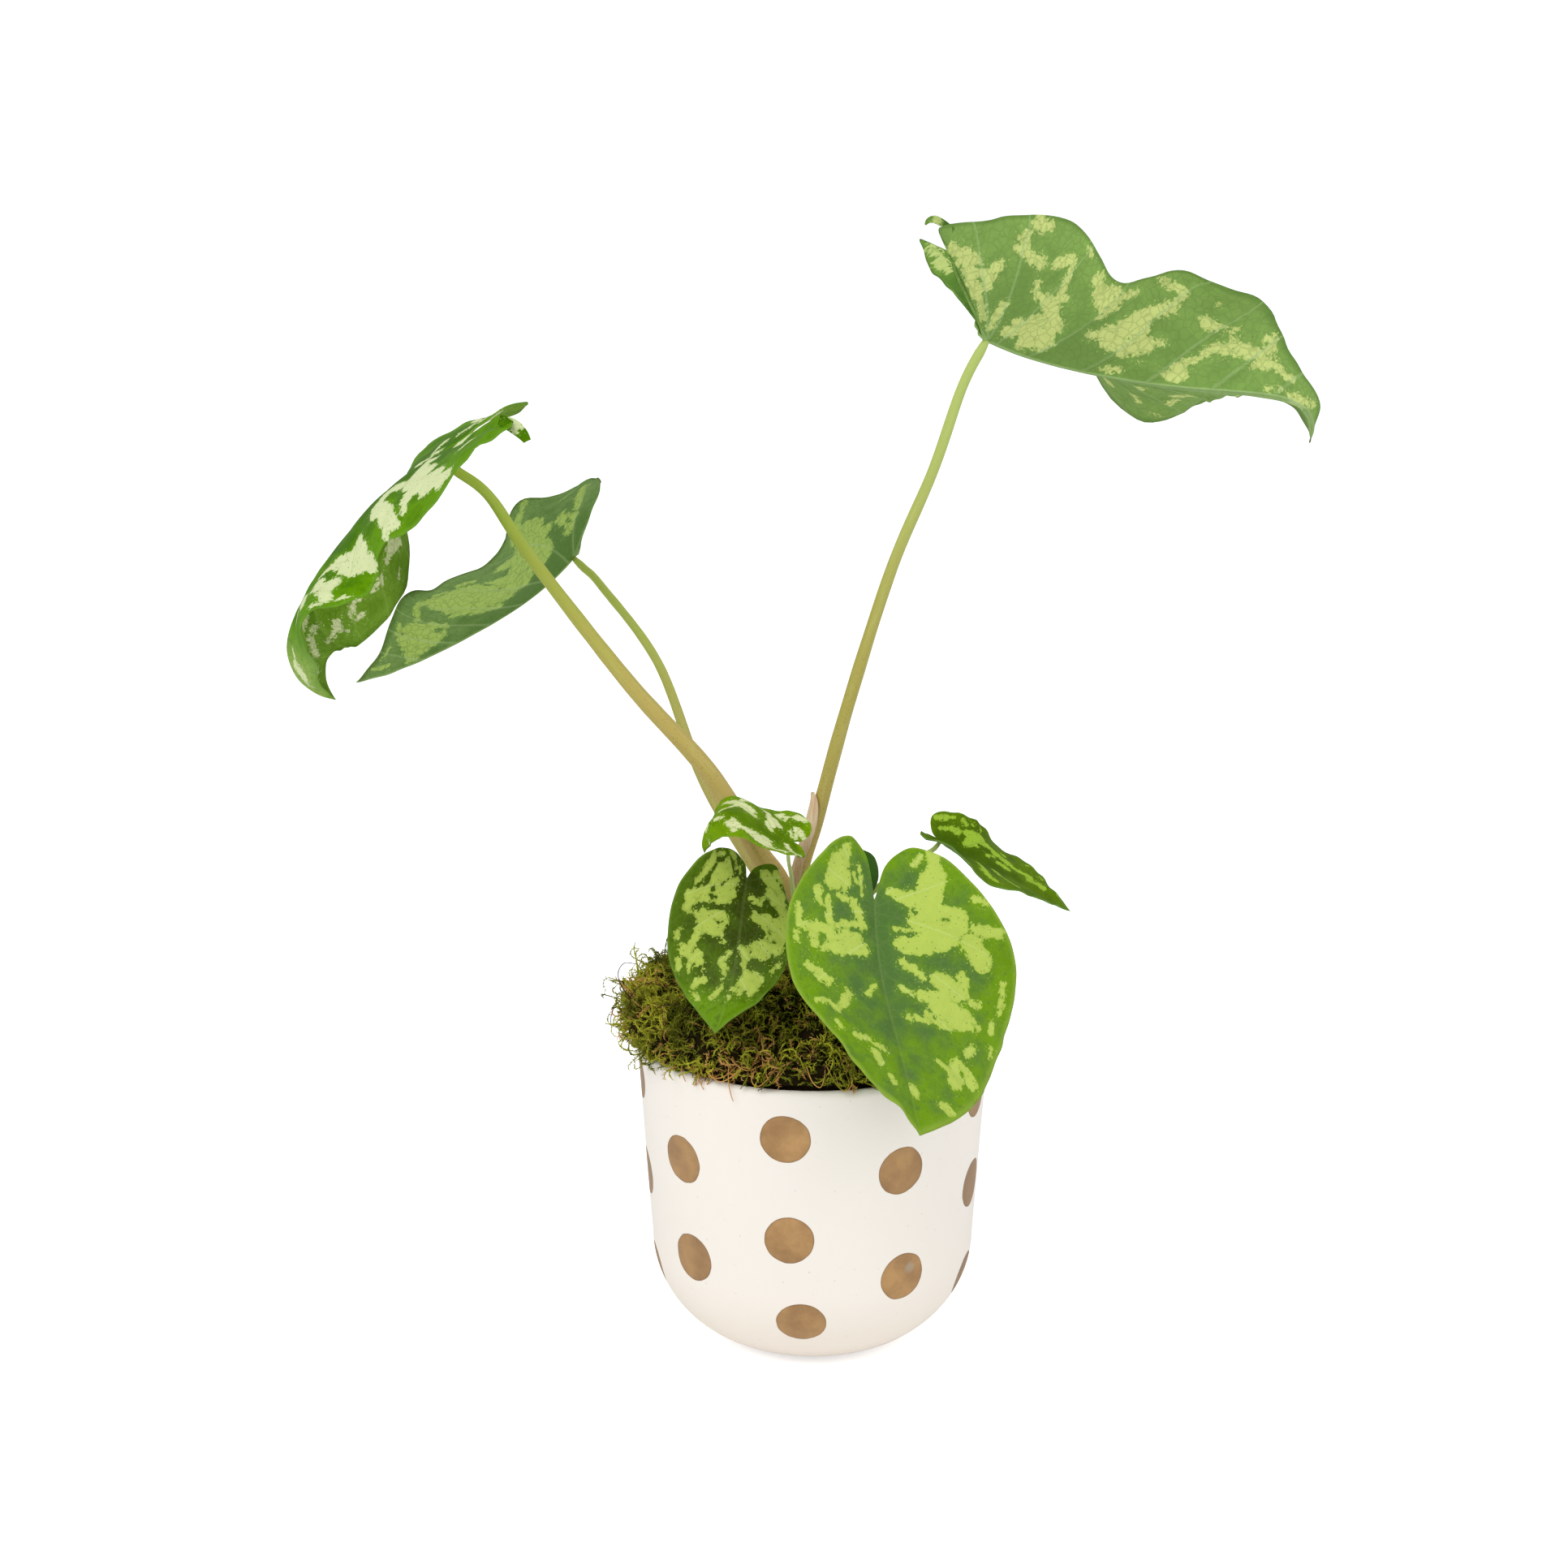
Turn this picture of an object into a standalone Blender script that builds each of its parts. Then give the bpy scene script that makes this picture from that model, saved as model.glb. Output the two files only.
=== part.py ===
"""Potted hilo beauty alocasia: a round ceramic pot with soil and moss, and eight leaves on petioles.

Lengths are in millimetres and are scaled to metres when the meshes are made.
Origin at the centre of the pot's base, +Z up, -Y towards the front.
"""
import math
from collections import namedtuple

import bpy
import bmesh
import numpy as np

MM = 0.001
GAP = 0.3               # clearance left between touching pieces
BLADE = 0.7             # thickness of a leaf blade

# Pot
POT_HEIGHT = 107.4
POT_TOP_R = 60.0
POT_WALL_R = 55.4       # outer radius where the tapered wall meets the rounded foot
FOOT_R, FOOT_H = 33.9, 35.1
LIP = 4.6               # wall thickness at the rim
FLOOR = 6.0
POT_SIDES = 52

# Filling
SOIL_TOP = 97.7
CORM_AT = (-6.0, -1.0)
CORM_R = 14.0
CORM_LOW = 72.0
MOSS_LOW = 98.0
MOSS_CROWN = 131.0
MOSS_OVER_LEFT = 5.5    # how far the moss bulges over the rim at the left

Half = namedtuple("Half", "width lift curl full wave back", defaults=(1.0,))
Leaf = namedtuple("Leaf", "attach length lobe heading swing rise roll left right shape grid")
Stem = namedtuple("Stem", "points radii colour sides steps")

# Half outline of a blade laid flat, from the notch round the lobe to the tip: (along / length, out / width)
HEART = ((-.03, 0), (-.17, .10), (-.24, .32), (-.20, .58), (-.08, .80), (.06, .92), (.20, .985), (.36, 1),
         (.52, .93), (.67, .76), (.80, .54), (.91, .28), (1, 0))
ARROW = ((-.04, 0), (-.20, .12), (-.36, .30), (-.38, .52), (-.24, .76), (-.04, .92), (.14, 1), (.32, .97),
         (.50, .84), (.66, .64), (.80, .42), (.91, .20), (1, 0))

# Each blade starts at its stem's top. heading is its direction seen from above (0 is +X, 270 is the front),
# swing turns it sideways and rise tips it up or down along the midrib, in degrees. Each half then has its
# width, the angle at which it leaves the midrib (lift, from lobe to tip), how much it curls across, how
# full its outline is and how far its edge waves up or down, from the notch to the tip. back stretches or
# shortens that half's own lobe.
LOBE_REACH = 1.8        # how far past the usual lobe the midrib's line is carried on, for long lobes
LEAVES = {
    1: Leaf(attach=(54.5, 0, 340), length=142, lobe=0.18, heading=29, swing=(17, -37, 60),
         rise=(-22, -11, -7, -48), roll=(-3, -36, -30),
         left=Half(width=54, lift=(35, 52, 34, 29, 39, 90), curl=(-80, -17, 23, -36, -16, -15, -6),
              full=(0.75, 0.85, 1, 1, 1.15, 0.95, 0.9, 0.95),
              wave=(0.2, -1, -2.3, -2.5, 1.8, 1.9, 0.9, -0.2, 0, 0.5), back=0.2),
         right=Half(width=57, lift=(55, 38, 23, 51, 73, 18), curl=(25, 42, 34, 8, -95, -45, -12),
              full=(1.1, 1.15, 0.8, 0.85, 0.65, 0.9, 0.45, 0.95),
              wave=(1.1, 1.2, 1.2, 0, -0.3, -0.3, -0.7, -0.7, -0.2, 0.1), back=1.6),
         shape=ARROW, grid=(8, 36)),
    2: Leaf(attach=(-120.5, -8, 304), length=108, lobe=0.26, heading=185, swing=(-16, 1, 6),
         rise=(-30, -51, -64, -172), roll=(12, 17, 12),
         left=Half(width=54, lift=(-5, -17, -10, -7, -30, -56), curl=(-40, -35, -40, -65, -14, -12, 46),
              full=(0.95, 1.4, 1.15, 1.05, 0.9, 1.25, 1.1, 0.9),
              wave=(0, -1.5, -5.6, 2.1, 3.3, 2.4, 2.2, 1.6, 0.4, -0.6), back=1.28),
         right=Half(width=42, lift=(31, 24, 1, -43, -65, -54), curl=(-62, -13, 15, 10, -7, -43, -68),
              full=(1, 1.05, 1.05, 0.95, 1, 0.85, 1.05, 1.35),
              wave=(1.2, 1, -0.5, -0.9, -0.4, 1.3, 0.8, -0.5, -0.7, -0.3)),
         shape=ARROW, grid=(9, 36)),
    3: Leaf(attach=(-83.3, 59, 259.5), length=88, lobe=0.24, heading=199, swing=(13, -6, 11),
         rise=(-43, -30, -23, -7), roll=(38, 20, 16),
         left=Half(width=58, lift=(18, 24, 8, 25, 33, 25), curl=(-42, -41, 3, -13, -24, 28, 68),
              full=(1.1, 1.1, 1.15, 1.05, 1.05, 1.09, 1.06, 1),
              wave=(-1.4, -2, -0.6, 1.2, -0.1, -0.5, 0, 0.2, 0.4, 0.4), back=0.92),
         right=Half(width=40, lift=(54, 50, 40, 31, 22, 12), curl=(-3, -4, -6, -4, -3, -4, -4),
              full=(1.05, 1.05, 1, 1, 1, 1, 1, 1),
              wave=(0.2, 0.1, 0, -0.1, -0.1, -0.1, -0.1, -0.1, -0.1, -0.2), back=0.45),
         shape=ARROW, grid=(7, 30)),
    4: Leaf(attach=(-8.5, -30, 183), length=40, lobe=0.16, heading=182, swing=(-2, -2, -2),
         rise=(22, 36, -38, -109), roll=(-13, -9, -1),
         left=Half(width=15.9, lift=(-6, -3, -3, -14, -35), curl=(30, -1, -4),
              full=(1.05, 1.05, 1, 1, 1, 1, 1, 1.1), wave=(-0.8, -0.1, 1.6, 1.3, 0.1, -0.3, -0.3, -0.8)),
         right=Half(width=19.0, lift=(22, 4, -9, -13, -23), curl=(-11, -7, 4),
              full=(1.1, 1.1, 1, 1.05, 1.05, 1.1, 1.05, 1), wave=(0.5, 0.2, -0.3, -0.8, -1.1, 1.8, -0.2,
              -0.7)),
         shape=HEART, grid=(4, 20)),
    5: Leaf(attach=(-22, -34, 170.5), length=51, lobe=0.15, heading=249, swing=(7, 3, -14),
         rise=(-53, -67, -55, -49), roll=(-38, -5, 20),
         left=Half(width=19.6, lift=(12, -2, -6, 2, 20), curl=(-21, -3, -9),
              full=(1.15, 1.2, 0.85, 0.9, 0.85, 0.9, 1, 1), wave=(0.6, 0.6, -1.3, -0.7, -0.2, -0.2, -0.6,
              0.2)),
         right=Half(width=24.2, lift=(21, 10, 3, 9, 15), curl=(6, -9, 5),
              full=(1, 1, 1, 1, 0.95, 1.05, 1.1, 1), wave=(0, 0.1, 0.1, 0, -0.3, 0, 0.1, 0.1)),
         shape=HEART, grid=(4, 18)),
    6: Leaf(attach=(19, -44, 165), length=81, lobe=0.26, heading=278, swing=(-8, 9, 0),
         rise=(-48, -45, -40, -32), roll=(-18, -23, -25),
         left=Half(width=42.8, lift=(15, 12, 6, 2, 3), curl=(0, 4, -18),
              full=(0.95, 0.9, 0.95, 1.05, 1.1, 1.1, 1.1, 1), wave=(0, 0, 0, 0.1, 0, -0.1, -0.5, 0)),
         right=Half(width=33.2, lift=(30, 19, 7, 15, 27), curl=(-6, -18, -25),
              full=(0.85, 0.9, 0.95, 1.05, 1, 0.95, 1.15, 1), wave=(0.2, 0, -0.1, -0.3, -0.6, 0.4, -1, 0)),
         shape=HEART, grid=(6, 24)),
    7: Leaf(attach=(42, -8, 176.5), length=49, lobe=0.14, heading=-10, swing=(-6, 7, 1),
         rise=(-27, -26, -32, -23), roll=(16, 13, 4),
         left=Half(width=19.1, lift=(21, 14, 2, 5, 6), curl=(10, -20, 10),
              full=(1.15, 1.05, 0.8, 0.85, 1.1, 1.1, 1, 1), wave=(0.3, 0.2, -0.3, 0.3, -0.3, 0.6, 0.2,
              -0.1)),
         right=Half(width=15.7, lift=(25, 27, 16, 18, 25), curl=(9, -4, -1),
              full=(1, 1, 1, 1.05, 1.15, 1, 1, 1), wave=(0.1, -0.4, -0.5, 1.4, -1, 0.4, -0.4, 0.2)),
         shape=HEART, grid=(4, 18)),
    8: Leaf(attach=(9.5, -12, 171), length=22, lobe=.2, heading=262, swing=(0, 0, 0),
         rise=(-33, -40, -46, -50), roll=(0, 0, 0),
         left=Half(width=12.5, lift=(8, 5, 3, 3, 3), curl=(0, 0, 0), full=(1, 1), wave=(0, 0)),
         right=Half(width=12.5, lift=(8, 5, 3, 3, 3), curl=(0, 0, 0), full=(1, 1), wave=(0, 0)),
         shape=HEART, grid=(3, 14)),
}

# Leaf 8 is almost wholly hidden in the photo, so its sizes are guesses.
# Each stem runs from the corm to its blade. Points are in mm, radii from base to top.
STEMS = {
    1: Stem(((-7.5, 5.5, 98), (-8, 5.5, 128), (-5, 4, 158), (1, 2, 181), (11, 0, 220), (25, 0, 266), (38, 0, 298),
             (47, 0, 325)), (3.3, 3.1, 2.6, 2.2, 1.7), "stem_tan", 12, 20),
    2: Stem(((-6.5, -4, 98), (-6.5, -4, 128), (-10, -3.5, 157), (-19, -3, 172), (-35, -5, 199.5),
             (-60, -8.5, 229.5), (-91, -8.5, 271), (-104, -8.2, 291), (-114, -8, 299)), (3.6, 3.5, 2.9, 2.2, 1.5), "stem_tan", 12, 22),
    3: Stem(((-15, 6, 98), (-13.5, 7.5, 128), (-14, 8.5, 153), (-21, 12, 163), (-38.1, 27, 189.2),
             (-53.4, 45, 224.9), (-73.3, 55, 250.2), (-79.3, 57.5, 255.9)), (2.4, 2.2, 1.9, 1.6, 1.3), "stem_green", 10, 18),
    4: Stem(((-3, -11, 98), (-4, -11.5, 130), (-6.5, -15, 156), (-7.5, -22, 168), (-8.5, -28, 176)),
            (.9, .8, .7, .6), "stem_green", 8, 8),
    5: Stem(((-13, -8, 98), (-13.5, -10, 125), (-16, -17, 150), (-20, -27, 165)), (1.5, 1.4, 1.2, 1.0),
            "stem_green", 8, 10),
    6: Stem(((0, -7, 98), (0, -10, 125), (5, -23, 142), (14, -37, 155)), (1.9, 1.8, 1.5, 1.2), "stem_green", 10, 10),
    7: Stem(((1.5, 3.5, 98), (3, 4, 125), (13, 1, 148), (30, -5, 167), (39, -8, 173)), (1.3, 1.2, 1.0, .8),
            "stem_green", 8, 12),
    8: Stem(((2.5, -2, 98), (4, -2, 125), (7, -4, 148), (9, -8, 163)), (1.1, 1.0, .9, .8), "stem_green", 8, 8),
}

SHEATH_AT = (148.0, 191.0)      # heights between which the dry sheath clasps the tallest stem
SHEATH_SIDE = 200.0             # where its middle lies round that stem, in degrees from +X


def clear_scene():
    for ob in list(bpy.data.objects):
        bpy.data.objects.remove(ob, do_unlink=True)


def material(name, rgb, rough):
    mat = bpy.data.materials.new(name)
    mat.use_nodes = True
    bsdf = mat.node_tree.nodes["Principled BSDF"]
    bsdf.inputs["Base Color"].default_value = (*rgb, 1)
    bsdf.inputs["Roughness"].default_value = rough
    return mat


def add_mesh(name, points, faces, mat=None, smooth=True):
    """Mesh object from points in mm, with its faces turned outwards."""
    mesh = bpy.data.meshes.new(name)
    mesh.from_pydata([tuple(float(c) * MM for c in p) for p in points], [], faces)
    bm = bmesh.new()
    bm.from_mesh(mesh)
    bmesh.ops.recalc_face_normals(bm, faces=bm.faces)
    bm.to_mesh(mesh)
    bm.free()
    mesh.polygons.foreach_set("use_smooth", [smooth] * len(mesh.polygons))
    ob = bpy.data.objects.new(name, mesh)
    bpy.context.collection.objects.link(ob)
    if mat:
        mesh.materials.append(mat)
    return ob


def cut(ob, cutter):
    """Subtract cutter from ob and keep it hidden as a wire."""
    cutter.hide_render = True
    cutter.display_type = "WIRE"
    mod = ob.modifiers.new(cutter.name, "BOOLEAN")
    mod.operation = "DIFFERENCE"
    mod.solver = "EXACT"
    mod.object = cutter


def through(values, s):
    """Smooth curve through evenly spaced values, read at s between 0 and 1 (Catmull-Rom)."""
    v = np.asarray(values, float)
    last = len(v) - 1
    u = np.clip(np.asarray(s, float), 0, 1) * last
    i = np.minimum(u.astype(int), last - 1)
    f = u - i
    v = np.concatenate([[2 * v[0] - v[1]], v, [2 * v[-1] - v[-2]]])
    if v.ndim > 1:
        f = f[..., None]
    a, b, c, d = v[i], v[i + 1], v[i + 2], v[i + 3]
    return b + .5 * f * (c - a + f * (2 * a - 5 * b + 4 * c - d + f * (3 * (b - c) + d - a)))


# Turned pieces: pot, soil, corm

def lathe(profile, sides, centre=(0, 0)):
    """Points and faces of a closed solid turned about Z. The profile starts and ends on the axis."""
    ang = np.arange(sides) * 2 * math.pi / sides
    pts = [(centre[0], centre[1], profile[0][1])]
    for r, z in profile[1:-1]:
        pts += [(centre[0] + r * math.cos(a), centre[1] + r * math.sin(a), z) for a in ang]
    pts.append((centre[0], centre[1], profile[-1][1]))
    n, end = sides, len(pts) - 1
    faces = [(0, 1 + (j + 1) % n, 1 + j) for j in range(n)]
    for k in range(len(profile) - 3):
        lo, hi = 1 + k * n, 1 + (k + 1) * n
        faces += [(lo + j, lo + (j + 1) % n, hi + (j + 1) % n, hi + j) for j in range(n)]
    faces += [(end, end - n + j, end - n + (j + 1) % n) for j in range(n)]
    return pts, faces


def pot_outer(z):
    """Outer radius of the pot at a height: rounded foot, then a slightly tapered wall."""
    if z < FOOT_H:
        return POT_WALL_R - FOOT_R + FOOT_R * math.sqrt(max(0, 1 - (1 - z / FOOT_H) ** 2))
    return POT_WALL_R + (POT_TOP_R - POT_WALL_R) * (z - FOOT_H) / (POT_HEIGHT - FOOT_H)


def pot_inner(z):
    """Inner radius: the outer wall less the wall thickness, with its own rounded foot."""
    wall = POT_WALL_R + (POT_TOP_R - POT_WALL_R) * max(0, z - FOOT_H) / (POT_HEIGHT - FOOT_H) - LIP - .3
    if z < FLOOR + FOOT_H - 6:
        t = 1 - (z - FLOOR) / (FOOT_H - 6)
        return wall - (FOOT_R - 6) * (1 - math.sqrt(max(0, 1 - t * t)))
    return wall


FOOT_RISE = [FLOOR + (FOOT_H - 6) * (1 - math.cos(a)) for a in np.radians((90, 72, 54, 36, 18, 0))]


def build_pot(mat):
    low = [FOOT_H * (1 - math.cos(a)) for a in np.radians((0, 16, 31, 45, 58, 70, 81, 90))]
    outer = [(pot_outer(z), z) for z in low] + [(pot_outer(72), 72)]
    top = POT_HEIGHT - LIP / 2
    mid = pot_outer(top) - LIP / 2
    lip = [(mid + LIP / 2 * math.cos(a), top + LIP / 2 * math.sin(a)) for a in np.radians((0, 36, 72, 108, 144, 180))]
    inner = [(pot_inner(z), z) for z in [72] + FOOT_RISE]
    profile = [(0, 0)] + outer + lip + inner + [(0, FLOOR)]
    pts, faces = lathe(profile, POT_SIDES)
    return add_mesh("pot", pts, faces, mat)


def build_soil(mat):
    side = [(pot_inner(z) - GAP - .15, z + GAP + .1) for z in FOOT_RISE[::-1]]
    profile = [(0, FLOOR + GAP + .1)] + side + [(pot_inner(72) - GAP - .15, 72)]
    profile += [(pot_inner(SOIL_TOP) - GAP - .15, SOIL_TOP), (0, SOIL_TOP)]
    pts, faces = lathe(profile, POT_SIDES)
    soil = add_mesh("soil", pts, faces, mat)
    hole = lathe([(0, CORM_LOW - GAP), (CORM_R - 3 + GAP, CORM_LOW - GAP), (CORM_R + GAP, CORM_LOW + 8),
                  (CORM_R + GAP, SOIL_TOP + 5), (0, SOIL_TOP + 5)], 24, CORM_AT)
    cut(soil, add_mesh("soil_socket", *hole))
    return soil


def build_corm(mat):
    top = MOSS_LOW - GAP
    profile = [(0, CORM_LOW), (CORM_R - 3, CORM_LOW), (CORM_R - .4, CORM_LOW + 8.6), (CORM_R - .3, top - 4),
               (CORM_R - 1, top), (0, top)]
    pts, faces = lathe(profile, 24, CORM_AT)
    return add_mesh("corm", pts, faces, mat)


# Stems

def tube(points, radii, sides, steps, grow=0.0, low=0.0, high=0.0, tip=.55):
    """Round tube through the points. Its radius follows radii; grow widens it and tip narrows its top end."""
    path = np.array(points, float)
    run = np.concatenate([[0], np.cumsum(np.linalg.norm(np.diff(path, axis=0), axis=1))])
    even = np.linspace(0, 1, steps * 6)
    curve = through(path, even)
    walk = np.concatenate([[0], np.cumsum(np.linalg.norm(np.diff(curve, axis=0), axis=1))])
    s = np.linspace(0, 1, steps)
    mid = np.stack([np.interp(s * walk[-1], walk, curve[:, k]) for k in range(3)], 1)
    rad = through(radii, s) + grow
    ahead = np.gradient(mid, axis=0)
    ahead[0] = (0, 0, 1)
    ahead /= np.linalg.norm(ahead, axis=1)[:, None]
    mid[0, 2] -= low
    mid[-1] += ahead[-1] * high
    rings = []
    for p, r, t in zip(mid, rad, ahead):
        side = np.cross(t, (0, 1, 0.001))
        side /= np.linalg.norm(side)
        other = np.cross(t, side)
        ang = np.arange(sides) * 2 * math.pi / sides
        rings.append(p + r * (np.cos(ang)[:, None] * side + np.sin(ang)[:, None] * other))
    end = mid[-1] + (rings[-1] - mid[-1]) * tip + ahead[-1] * rad[-1] * .6
    rings.append(end)
    pts = [tuple(mid[0])] + [tuple(p) for ring in rings for p in ring]
    pts.append(tuple(end.mean(0) + ahead[-1] * rad[-1] * .1))
    n, last = sides, len(pts) - 1
    faces = [(0, 1 + (j + 1) % n, 1 + j) for j in range(n)]
    for k in range(len(rings) - 1):
        lo, hi = 1 + k * n, 1 + (k + 1) * n
        faces += [(lo + j, lo + (j + 1) % n, hi + (j + 1) % n, hi + j) for j in range(n)]
    faces += [(last, last - n + j, last - n + (j + 1) % n) for j in range(n)]
    return pts, faces


def stem_path(k):
    """Stem points with its top added: just under the blade, square to it at the attachment."""
    stem, leaf = STEMS[k], LEAVES[k]
    mid, tris, _ = blade_surface(leaf, *leaf.grid)
    fan = tris[(tris == 0).any(1)]
    up = np.cross(mid[fan[:, 1]] - mid[fan[:, 0]], mid[fan[:, 2]] - mid[fan[:, 0]]).sum(0)
    up /= np.linalg.norm(up)
    top = np.array(leaf.attach) - up * (BLADE / 2 + GAP + .8 * stem.radii[-1] + .2)
    return [*stem.points, tuple(top)]


def build_sheath(mat):
    """Dry sheath: a thin pointed scale that follows the left of the tallest stem at a small distance."""
    stem = STEMS[1]
    path = np.array(stem_path(1), float)
    even = np.linspace(0, 1, 200)
    curve, rad = through(path, even), through(stem.radii, even)
    z = np.linspace(SHEATH_AT[0], SHEATH_AT[1], 9)
    mid = np.stack([np.interp(z, curve[:, 2], curve[:, k]) for k in range(3)], 1)
    r = np.interp(z, curve[:, 2], rad) + GAP + .3
    s = np.linspace(0, 1, 9)
    lean = 2.2 * np.clip(s - .45, 0, 1) ** 1.4
    half = np.radians(62) * np.sqrt(np.clip(1 - s ** 2.2, 0.02, 1))
    cols = 6
    inner, outer = [], []
    for k in range(9):
        ang = math.radians(SHEATH_SIDE) + np.linspace(-half[k], half[k], cols)
        way = np.stack([np.cos(ang), np.sin(ang), 0 * ang], 1)
        inner.append(mid[k] + way * (r[k] + lean[k]))
        outer.append(mid[k] + way * (r[k] + lean[k] + .65))
    pts = [tuple(p) for rows in (inner, outer) for row in rows for p in row]
    n = 9 * cols
    idx = lambda k, j, side: side * n + k * cols + j
    faces = []
    for k in range(8):
        for j in range(cols - 1):
            a, b, c, d = idx(k, j, 0), idx(k, j + 1, 0), idx(k + 1, j + 1, 0), idx(k + 1, j, 0)
            faces += [(a, b, c), (a, c, d), (a + n, c + n, b + n), (a + n, d + n, c + n)]
    rim = [(k, 0) for k in range(9)] + [(8, j) for j in range(1, cols)] + [(k, cols - 1) for k in range(7, -1, -1)]
    rim += [(0, j) for j in range(cols - 2, 0, -1)]
    for (k, j), (k2, j2) in zip(rim, rim[1:] + rim[:1]):
        faces.append((idx(k, j, 0), idx(k2, j2, 0), idx(k2, j2, 1), idx(k, j, 1)))
    return add_mesh("sheath", pts, faces, mat)


# Moss

def build_moss(mat):
    """Moss pillow: a lumpy mound that fills the mouth and bulges over the rim at the left, with a hole per stem."""
    sides = 44
    ang = np.arange(sides) * 2 * math.pi / sides
    left = np.clip(-np.cos(ang), 0, 1) ** 1.5
    front = np.clip(-np.sin(ang), 0, 1)
    inside = pot_inner(MOSS_LOW) - GAP - .25
    rows = []
    rows.append((inside + 0 * ang, MOSS_LOW + 0 * ang))
    rows.append((inside + .1 + 0 * ang, POT_HEIGHT + GAP + .2 + 0 * ang))
    rim = inside + 1.2 + MOSS_OVER_LEFT * left
    rows.append((rim, POT_HEIGHT + GAP + .7 + 0 * ang))
    rows.append((rim + 1.5 * left, POT_HEIGHT + 4 + 3 * left))
    rows.append((rim - .5 + .5 * left, POT_HEIGHT + 7 + 7 * left - 2 * front))
    for k, f in enumerate((.86, .70, .52, .34, .17)):
        height = POT_HEIGHT + 8 + (MOSS_CROWN - POT_HEIGHT - 8) * (1 - f ** 2.2)
        rows.append((rim * f, height + 8 * left * f ** 2 * (1 - .3 * f) - 3 * front * f))
    pts = [(0, 0, MOSS_LOW)]
    for k, (r, z) in enumerate(rows):
        lump = 0 if k < 3 else .8 * np.sin(5 * ang + 1.7 * k) + .6 * np.sin(9 * ang - 2.3 * k + 1)
        lift = 0 if k < 3 else .9 * np.sin(7 * ang + 2.1 * k + .5)
        reach = np.minimum(r + lump, rim + 3) if k > 3 else r
        pts += list(zip(reach * np.cos(ang), reach * np.sin(ang), z + lift))
    pts.append((0, 0, MOSS_CROWN))
    n, end = sides, len(pts) - 1
    faces = [(0, 1 + (j + 1) % n, 1 + j) for j in range(n)]
    for k in range(len(rows) - 1):
        lo, hi = 1 + k * n, 1 + (k + 1) * n
        for j in range(n):
            a, b, c, d = lo + j, lo + (j + 1) % n, hi + (j + 1) % n, hi + j
            faces += [(a, b, c), (a, c, d)]
    faces += [(end, end - n + j, end - n + (j + 1) % n) for j in range(n)]
    moss = add_mesh("moss", pts, faces, mat)
    for k, stem in STEMS.items():
        hole = tube(stem_path(k), stem.radii, stem.sides, stem.steps, grow=GAP + .2, low=4)
        cut(moss, add_mesh(f"moss_hole_{k}", *hole))
    return moss


# Blades

def midrib(leaf, steps=80):
    """Stations along the midrib, from the lobes' ends to the tip, with their forward, left and up directions."""
    x = np.linspace(-LOBE_REACH * leaf.lobe * leaf.length, leaf.length, steps)
    s = np.clip(x / leaf.length, 0, 1)
    head = np.radians(leaf.heading + through(leaf.swing, s))
    rise = np.radians(through(leaf.rise, s))
    roll = np.radians(through(leaf.roll, s))[:, None]
    ahead = np.stack([np.cos(rise) * np.cos(head), np.cos(rise) * np.sin(head), np.sin(rise)], -1)
    flat = np.stack([-np.sin(head), np.cos(head), 0 * head], -1)
    over = np.cross(ahead, flat)
    left = np.cos(roll) * flat + np.sin(roll) * over
    up = np.cos(roll) * over - np.sin(roll) * flat
    line = np.concatenate([np.zeros((1, 3)), np.cumsum((ahead[1:] + ahead[:-1]) / 2 * (x[1] - x[0]), 0)])
    line -= [np.interp(0, x, line[:, k]) for k in range(3)]
    return x, line + leaf.attach, left, up


def place(leaf, rib, x, y, side, edge):
    """Flat blade points to space. Each half leaves the midrib at its lift angle, curls and waves at its edge."""
    stations, line, left, up = rib
    half = leaf.left if side > 0 else leaf.right
    at = lambda table: np.stack([np.interp(x, stations, table[:, k]) for k in range(3)], -1)
    c, b, n = at(line), at(left), at(up)
    b /= np.linalg.norm(b, axis=-1, keepdims=True)
    n /= np.linalg.norm(n, axis=-1, keepdims=True)
    s = (x / leaf.length + leaf.lobe) / (1 + leaf.lobe)
    lift = np.radians(through(half.lift, s))
    turn = np.radians(through(half.curl, s)) * y / half.width
    chord = y * np.sinc(turn / 2 / math.pi)
    wave = through(half.wave, edge) * (y / half.width) ** 1.5
    out = chord * np.cos(lift + turn / 2) - wave * np.sin(lift + turn)
    high = chord * np.sin(lift + turn / 2) + wave * np.cos(lift + turn)
    return c + side * out[..., None] * b + high[..., None] * n


def blade_surface(leaf, rings, around):
    """Middle surface of a blade as a fan of rings about its stem: points and triangles."""
    rib = midrib(leaf)
    shape = np.array(leaf.shape)
    edge = np.linspace(0, 1, around + 1)
    q = through(shape, edge)
    behind = leaf.lobe / -shape[:, 0].min()
    pts = [np.array([leaf.attach], float)]
    for f in np.linspace(0, 1, rings + 1)[1:]:
        both = []
        for side, half in ((1, leaf.left), (-1, leaf.right)):
            back = 1 + (half.back - 1) * np.clip(edge / .12, 0, 1)
            x = np.where(q[:, 0] < 0, q[:, 0] * behind * back, q[:, 0]) * leaf.length
            y = np.maximum(q[:, 1], 0) * half.width * through(half.full, edge)
            both.append(place(leaf, rib, f * x, f * y, side, edge))
        pts.append(np.concatenate([both[0], both[1][-2:0:-1]]))
    count = 2 * around
    tris = [(0, 1 + (j + 1) % count, 1 + j) for j in range(count)]
    for k in range(rings - 1):
        lo, hi = 1 + k * count, 1 + (k + 1) * count
        for j in range(count):
            a, b, c, d = lo + j, lo + (j + 1) % count, hi + (j + 1) % count, hi + j
            tris += [(a, c, d), (a, b, c)]
    return np.concatenate(pts), np.array(tris), count


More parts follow.
